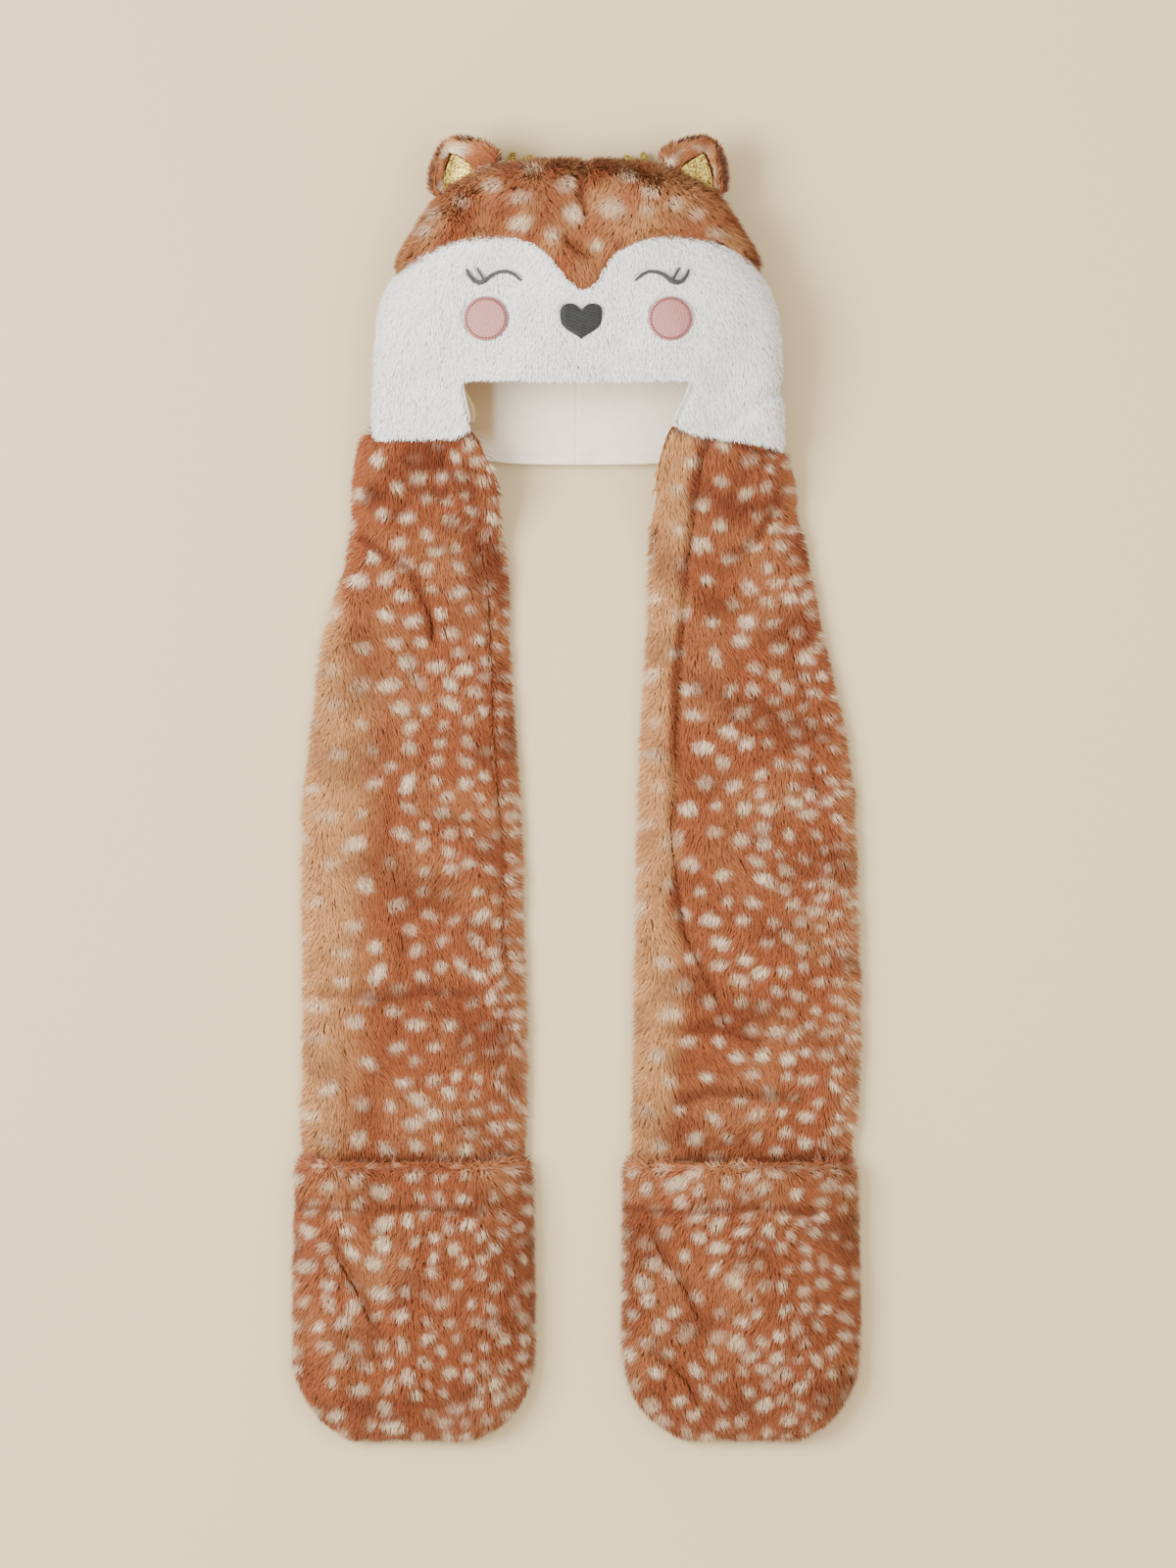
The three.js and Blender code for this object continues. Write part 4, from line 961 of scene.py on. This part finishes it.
# The turned hem's row of stitches, which comes first, and the creases of the empty pocket
POCKET_CREASES = {
    "left": [
        {"path": [(-178, -263), (-140, -265), (-104, -263), (-60, -266)], "wide": 2.8, "deep": 0.9},
        {"path": [(-156, -284), (-146, -306), (-136, -322), (-130, -338)],
         "wide": 5.0, "deep": 0.7},
        {"path": [(-118, -386), (-92, -390), (-70, -384)], "wide": 3.5, "deep": 0.6},
        {"path": [(-176, -330), (-170, -372)], "wide": 5, "deep": 0.4},
        {"path": [(-84, -300), (-74, -340)], "wide": 5, "deep": 0.3},
    ],
    "right": [
        {"path": [(26, -264), (70, -266), (110, -263), (150, -266)], "wide": 2.8, "deep": 0.9},
        {"path": [(48, -281), (58, -300), (68, -314), (74, -330)], "wide": 5.0, "deep": 0.7},
        {"path": [(46, -352), (66, -368), (74, -384)], "wide": 4.5, "deep": 0.6},
        {"path": [(118, -378), (140, -352), (152, -322)], "wide": 5, "deep": 0.4},
        {"path": [(104, -290), (120, -312)], "wide": 4.5, "deep": 0.35},
    ],
}

# The print is coarser on the left half of a pocket than on its right one
COARSE = {"apart": 0.0118, "size": (0.0096, 0.0070)}
FINE = {"apart": 0.0096, "size": (0.0074, 0.0054)}


def outward_from_pocket(side):
    """A pocket's pile lies down its length too, and stands up over its mouth."""
    def way(at, up):
        way = np.zeros_like(at) + [0, -1, 0]
        way[:, 0] += 0.55 * drift(at, 0.045, 63)
        way += up * [1, 1, 0] * 0.9
        way[:, 1] += 1.0 * step(POCKET_TOP - 0.006, POCKET_TOP + 0.001, at[:, 1])
        share, away = creased(at, POCKET_CREASES[side])
        way[:, :2] += 0.5 * share[:, None] * away
        return way
    return way


for side, seed in (("left", 61), ("right", 62)):
    middle = SCARF_MIDDLE[side]

    def print_at(x):
        return COARSE if x < middle else FINE

    spots = scatter(
        seed, (middle - 0.08, middle + 0.08, -0.41, POCKET_TOP + 0.003),
        lambda x, y: print_at(x)["apart"], lambda x, y: print_at(x)["size"],
        lean=0.5, strength=(0.4, 0.95),
    )

    def pocket_dye(root):
        light = 0.2 * step(-0.262, -0.25, root[:, 1]) + 0.25 * drift(root, 0.04, 66)
        crease = creased(root, POCKET_CREASES[side])[0]
        crushed = 0.12 + 0.5 * np.clip(drift(root, 0.024, 67) - 0.2, 0, 1)
        # A painted shadow under the pocket's mouth, where the spots are dimmed as in the creases
        at_mouth = step(POCKET_TOP - 0.007, POCKET_TOP - 0.002, root[:, 1])
        pale = spotted(root, spots) * (1 - 0.6 * np.maximum(crease, at_mouth))
        # Painted shade in the creases, with the crushed pile's random mottle
        parted = np.maximum(crease, crushed)
        return {"spot": pale, "band": np.clip(light, 0, 0.7), "parted": parted}

    pocket = cloth_from(
        f"pocket_{side}", f"pocket_{side}_cloth", knit_ground,
        drawn_in=into_scarf(side, POCKET_CREASES[side]),
    )
    hair = pile(
        f"pocket_{side}_pile", pocket, fawn_plush, count=45500, long=0.0095, wide=BLADE_WIDE,
        lift=0.6, nap=outward_from_pocket(side), grows=top_of_scarf, seed=seed, lock=0.42,
        dye=pocket_dye,
    )
    stands_for(pocket, f"pocket_{side}", "fawn fur", hair)


# The ears
# Two leaves of fawn plush with a little stuffing, sewn into the hood's side seams. A
# triangle of gold glitter cloth is glued and stitched to the front of each.

# The print on the ears: a pale tip on the left one, a pale streak up the right one. Each is
# x, y, half width and half height in metres, turn and strength.
EAR_SPOTS = [
    (-0.0785, 0.4055, 0.0085, 0.0050, 0.25, 0.9), (-0.0870, 0.3800, 0.0035, 0.0060, 0.0, 0.6),
    (-0.0600, 0.3930, 0.0035, 0.0025, 0.5, 0.6), (-0.0700, 0.3740, 0.0040, 0.0030, 0.2, 0.5),
    (0.0560, 0.3960, 0.0110, 0.0030, 0.75, 0.85), (0.0890, 0.3790, 0.0030, 0.0055, 0.0, 0.6),
    (0.0780, 0.4060, 0.0050, 0.0022, -0.4, 0.45), (0.0840, 0.3930, 0.0030, 0.0040, 0.3, 0.45),
]


def all_over(at, normal):
    return np.ones(len(at))


# The ears' corners follow a rounded box of this power, the left ear's upper part leans inwards
# by 3 mm, and the cloth is drawn in for its pile
ROUND_POWER = 2.2
LEFT_LEANS = 0.0030
INTO_EAR = 0.0016


def rounded_off(at, normal):
    """The stuffing rounds the ear's corners."""
    middle = (at.min(axis=0) + at.max(axis=0)) / 2
    half = (at.max(axis=0) - at.min(axis=0)) / 2
    out = (at - middle)[:, :2] / half[:2]
    far = (np.abs(out) ** ROUND_POWER).sum(axis=1) ** (1 / ROUND_POWER)
    back = np.zeros_like(at)
    back[:, :2] = (at - middle)[:, :2] * (1 / np.maximum(far, 1) - 1)[:, None]
    back[:, 0] += LEFT_LEANS * (at[:, 0] < 0) * step(-0.2, 1.0, out[:, 1])
    return back - INTO_EAR * normal


def up_the_ear(at, up):
    """An ear's pile lies upwards and out over its edges."""
    way = np.zeros_like(at) + [0, 0.6, 0]
    way[:, 0] += np.sign(at[:, 0]) * 0.2 + 0.5 * drift(at, 0.02, 73)
    way += up * [1, 1, 0]
    return way


# Glitter cloth: flakes of gold film bonded to cloth. Each flake lies at its own angle, so some
# flash and most look dull. Real flakes are finer: these are 0.8 mm across, so that they show.
glitter, tree, surface = finish("gold glitter cloth", roughness=0.42, Metallic=0.75)
place = node(tree, "TexCoord").outputs["Object"]
flakes = node(tree, "TexVoronoi", {"Scale": 1200}, Vector=place).outputs["Color"]
# How brightly each flake flashes is painted into its colour as well, from dark to bright gold, as
# painted glints
gold = node(tree, "ValToRGB", {"stops": [(0.2, "#5a4212"), (0.85, "#d3bd62")]}, _0=flakes)
tilt = node(tree, "Bump", {"Strength": 0.9, "Distance": 0.0004}, Height=flakes)
feed(tree, surface, Base_Color=gold, Normal=tilt)

for side, seed in (("left", 71), ("right", 72)):
    leaf = cloth_from(f"ear_{side}", f"ear_{side}_leaf", knit_ground, drawn_in=rounded_off)
    glued = surfaces(f"ear_glitter_{side}")
    hair = pile(
        f"ear_{side}_pile", leaf, fawn_plush, count=9000, long=0.0078, wide=0.0006, lift=0.7,
        nap=up_the_ear, grows=all_over, seed=seed, lock=0.35,
        clip=clipped_beside(glued, bare=0.0024, short=0.0012, left=0.4),
        dye=lambda root: {
            "spot": spotted(root, EAR_SPOTS, 0.0022),
            "band": np.clip(0.25 + 0.4 * drift(root, 0.012, 75), 0, 0.8),
            "parted": 0.6 * np.clip(drift(root, 0.012, 76), 0, 1),
        },
    )
    stands_for(leaf, f"ear_{side}", "fawn fur", hair)

    patch = cloth_from(f"ear_glitter_{side}", f"ear_{side}_patch", glitter)
    stands_for(patch, f"ear_glitter_{side}", "gold glitter")


# The antlers
# Small stuffed forks of the same glitter cloth, sewn to the crown's back so that only their
# tips show over it.

LONGER = 0.006


def tips_clear(at, normal):
    """Lengthens a fork from its base, so that its tips are clear of the crown's pile."""
    base, tip = at[:, 1].min(), at[:, 1].max()
    longer = np.zeros_like(at)
    longer[:, 1] = LONGER * (at[:, 1] - base) / (tip - base)
    return longer


for side in ("left", "right"):
    fork = cloth_from(f"antler_{side}", f"antler_{side}_fork", glitter, drawn_in=tips_clear)
    stands_for(fork, f"antler_{side}", "gold glitter")


# Eyes, cheeks and nose
# Satin stitch through the pile: closed eyes and nose in charcoal rayon thread, cheeks in
# blush thread with a row of darker edge stitches.

# The bands of a wave texture of scale 1 are this far apart, in metres
WAVE_APART = 2 / 6.28


def satin(name, dark, pale, apart, turn):
    """Rayon thread laid side by side, this far apart in metres, and turned this way. Real
    thread is finer: it is drawn as coarse as it needs to show."""
    made, tree, surface = finish(name, specular=0.3, roughness=0.5, Sheen_Weight=0.05)
    place = node(tree, "TexCoord").outputs["Object"]
    laid = node(tree, "Mapping", {"Rotation": (0, 0, turn)}, Vector=place)
    waves = {"Scale": WAVE_APART / apart, "Distortion": 1.6, "Detail": 2}
    threads = node(tree, "TexWave", waves, Vector=laid).outputs["Color"]
    worn = node(tree, "TexNoise", {"Scale": 520, "Detail": 2}, Vector=place).outputs["Color"]
    # The thread is painted dark between its strands and pale along them, as painted shade and
    # sheen, mixed with a random worn tone
    shade = node(tree, "MixRGB", {"Fac": 0.5}, Color1=threads, Color2=worn)
    colour = node(tree, "ValToRGB", {"stops": [(0.36, dark), (0.64, pale)]}, _0=shade)
    ridge = node(tree, "Bump", {"Strength": 0.6, "Distance": 0.0003}, Height=threads)
    feed(tree, surface, Base_Color=colour, Normal=ridge)
    return made


charcoal_thread = satin("charcoal rayon satin stitch", "#010102", "#3a3c3f", 0.0009, 1.4)
lash_thread = satin("charcoal rayon run stitch", "#17181b", "#585b60", 0.0009, 1.4)
blush_thread = satin("blush rayon satin stitch", "#9a6361", "#c9928d", 0.0009, 0.1)
edge_thread = satin("dusky blush edge stitch", "#70363c", "#8e5054", 0.0004, 0.1)


def pressed_in(at, normal):
    """The stitching presses the pile down and sits a little way into it."""
    return -0.0014 * unit(from_hood_axis(at)) + 0.0004 * normal


def plump_heart(at, normal):
    """The nose's thread is laid fuller below its middle and taller at its two lobes, with a
    deeper notch between them."""
    low, high = at.min(axis=0), at.max(axis=0)
    down = (high[1] - at[:, 1]) / (high[1] - low[1])
    aside = at[:, 0] - (low[0] + high[0]) / 2
    fuller = 0.13 * aside * np.sin(math.pi * down**1.8) ** 2
    lobes = 0.0011 * (1 - down) ** 2
    notch = 0.0014 * np.exp(-((aside / 0.0025) ** 2)) * (1 - down) ** 2
    point = 0.0009 * np.minimum(down / 0.7, 1) ** 2
    return pressed_in(at, normal) + np.stack([fuller, lobes - notch - point, 0 * down], axis=1)


for source, thread, levels, shape in (
    ("nose", charcoal_thread, 1, plump_heart),
    ("lash_left", lash_thread, 0, pressed_in),
    ("lash_right", lash_thread, 0, pressed_in),
):
    stitching = cloth_from(source, f"{source}_stitching", thread, levels, drawn_in=shape)
    stands_for(stitching, source, "charcoal thread")

# Each cheek's edge stitches: how many, how long, wide and high, and how far inside its edge.
# Their places are found from overhead.
STITCHES = 40
STITCH_SIZE = (0.0017, 0.0017 * 0.7, 0.0014)
STITCH_IN = 0.0015
OVERHEAD = 0.2
for side in ("left", "right"):
    cheek = cloth_from(
        f"cheek_{side}", f"cheek_{side}_stitching", blush_thread, levels=1, drawn_in=pressed_in
    )
    at, normal = corners_of(cheek.data)
    low, high = at.min(axis=0), at.max(axis=0)
    middle, half = (low + high) / 2, (high[0] - low[0]) / 2 - STITCH_IN
    skin = BVHTree.FromPolygons(
        [v.co for v in cheek.data.vertices], [p.vertices[:] for p in cheek.data.polygons]
    )
    bpy.ops.object.select_all(action="DESELECT")
    ring = []
    for k in range(STITCHES):
        turn = 2 * math.pi * k / STITCHES
        out = Vector((math.cos(turn), math.sin(turn), 0))
        place = Vector((middle[0], middle[1], OVERHEAD)) + out * float(half)
        hit, way, _, _ = skin.ray_cast(place, Vector((0, 0, -1)))
        bpy.ops.mesh.primitive_uv_sphere_add(segments=8, ring_count=5, radius=0.5, location=hit)
        stitch = bpy.context.object
        stitch.scale = STITCH_SIZE
        stitch.rotation_mode = "QUATERNION"
        stitch.rotation_quaternion = out.cross(way).to_track_quat("X", "Z")
        ring.append(stitch)
    for stitch in ring:
        stitch.select_set(True)
    bpy.ops.object.join()
    edging = bpy.context.object
    edging.name = f"cheek_{side}_edging"
    bpy.ops.object.transform_apply(location=True, rotation=True, scale=True)
    bpy.ops.object.shade_smooth()
    edging.data.materials.append(edge_thread)
    stands_for(cheek, f"cheek_{side}", "blush thread", edging)
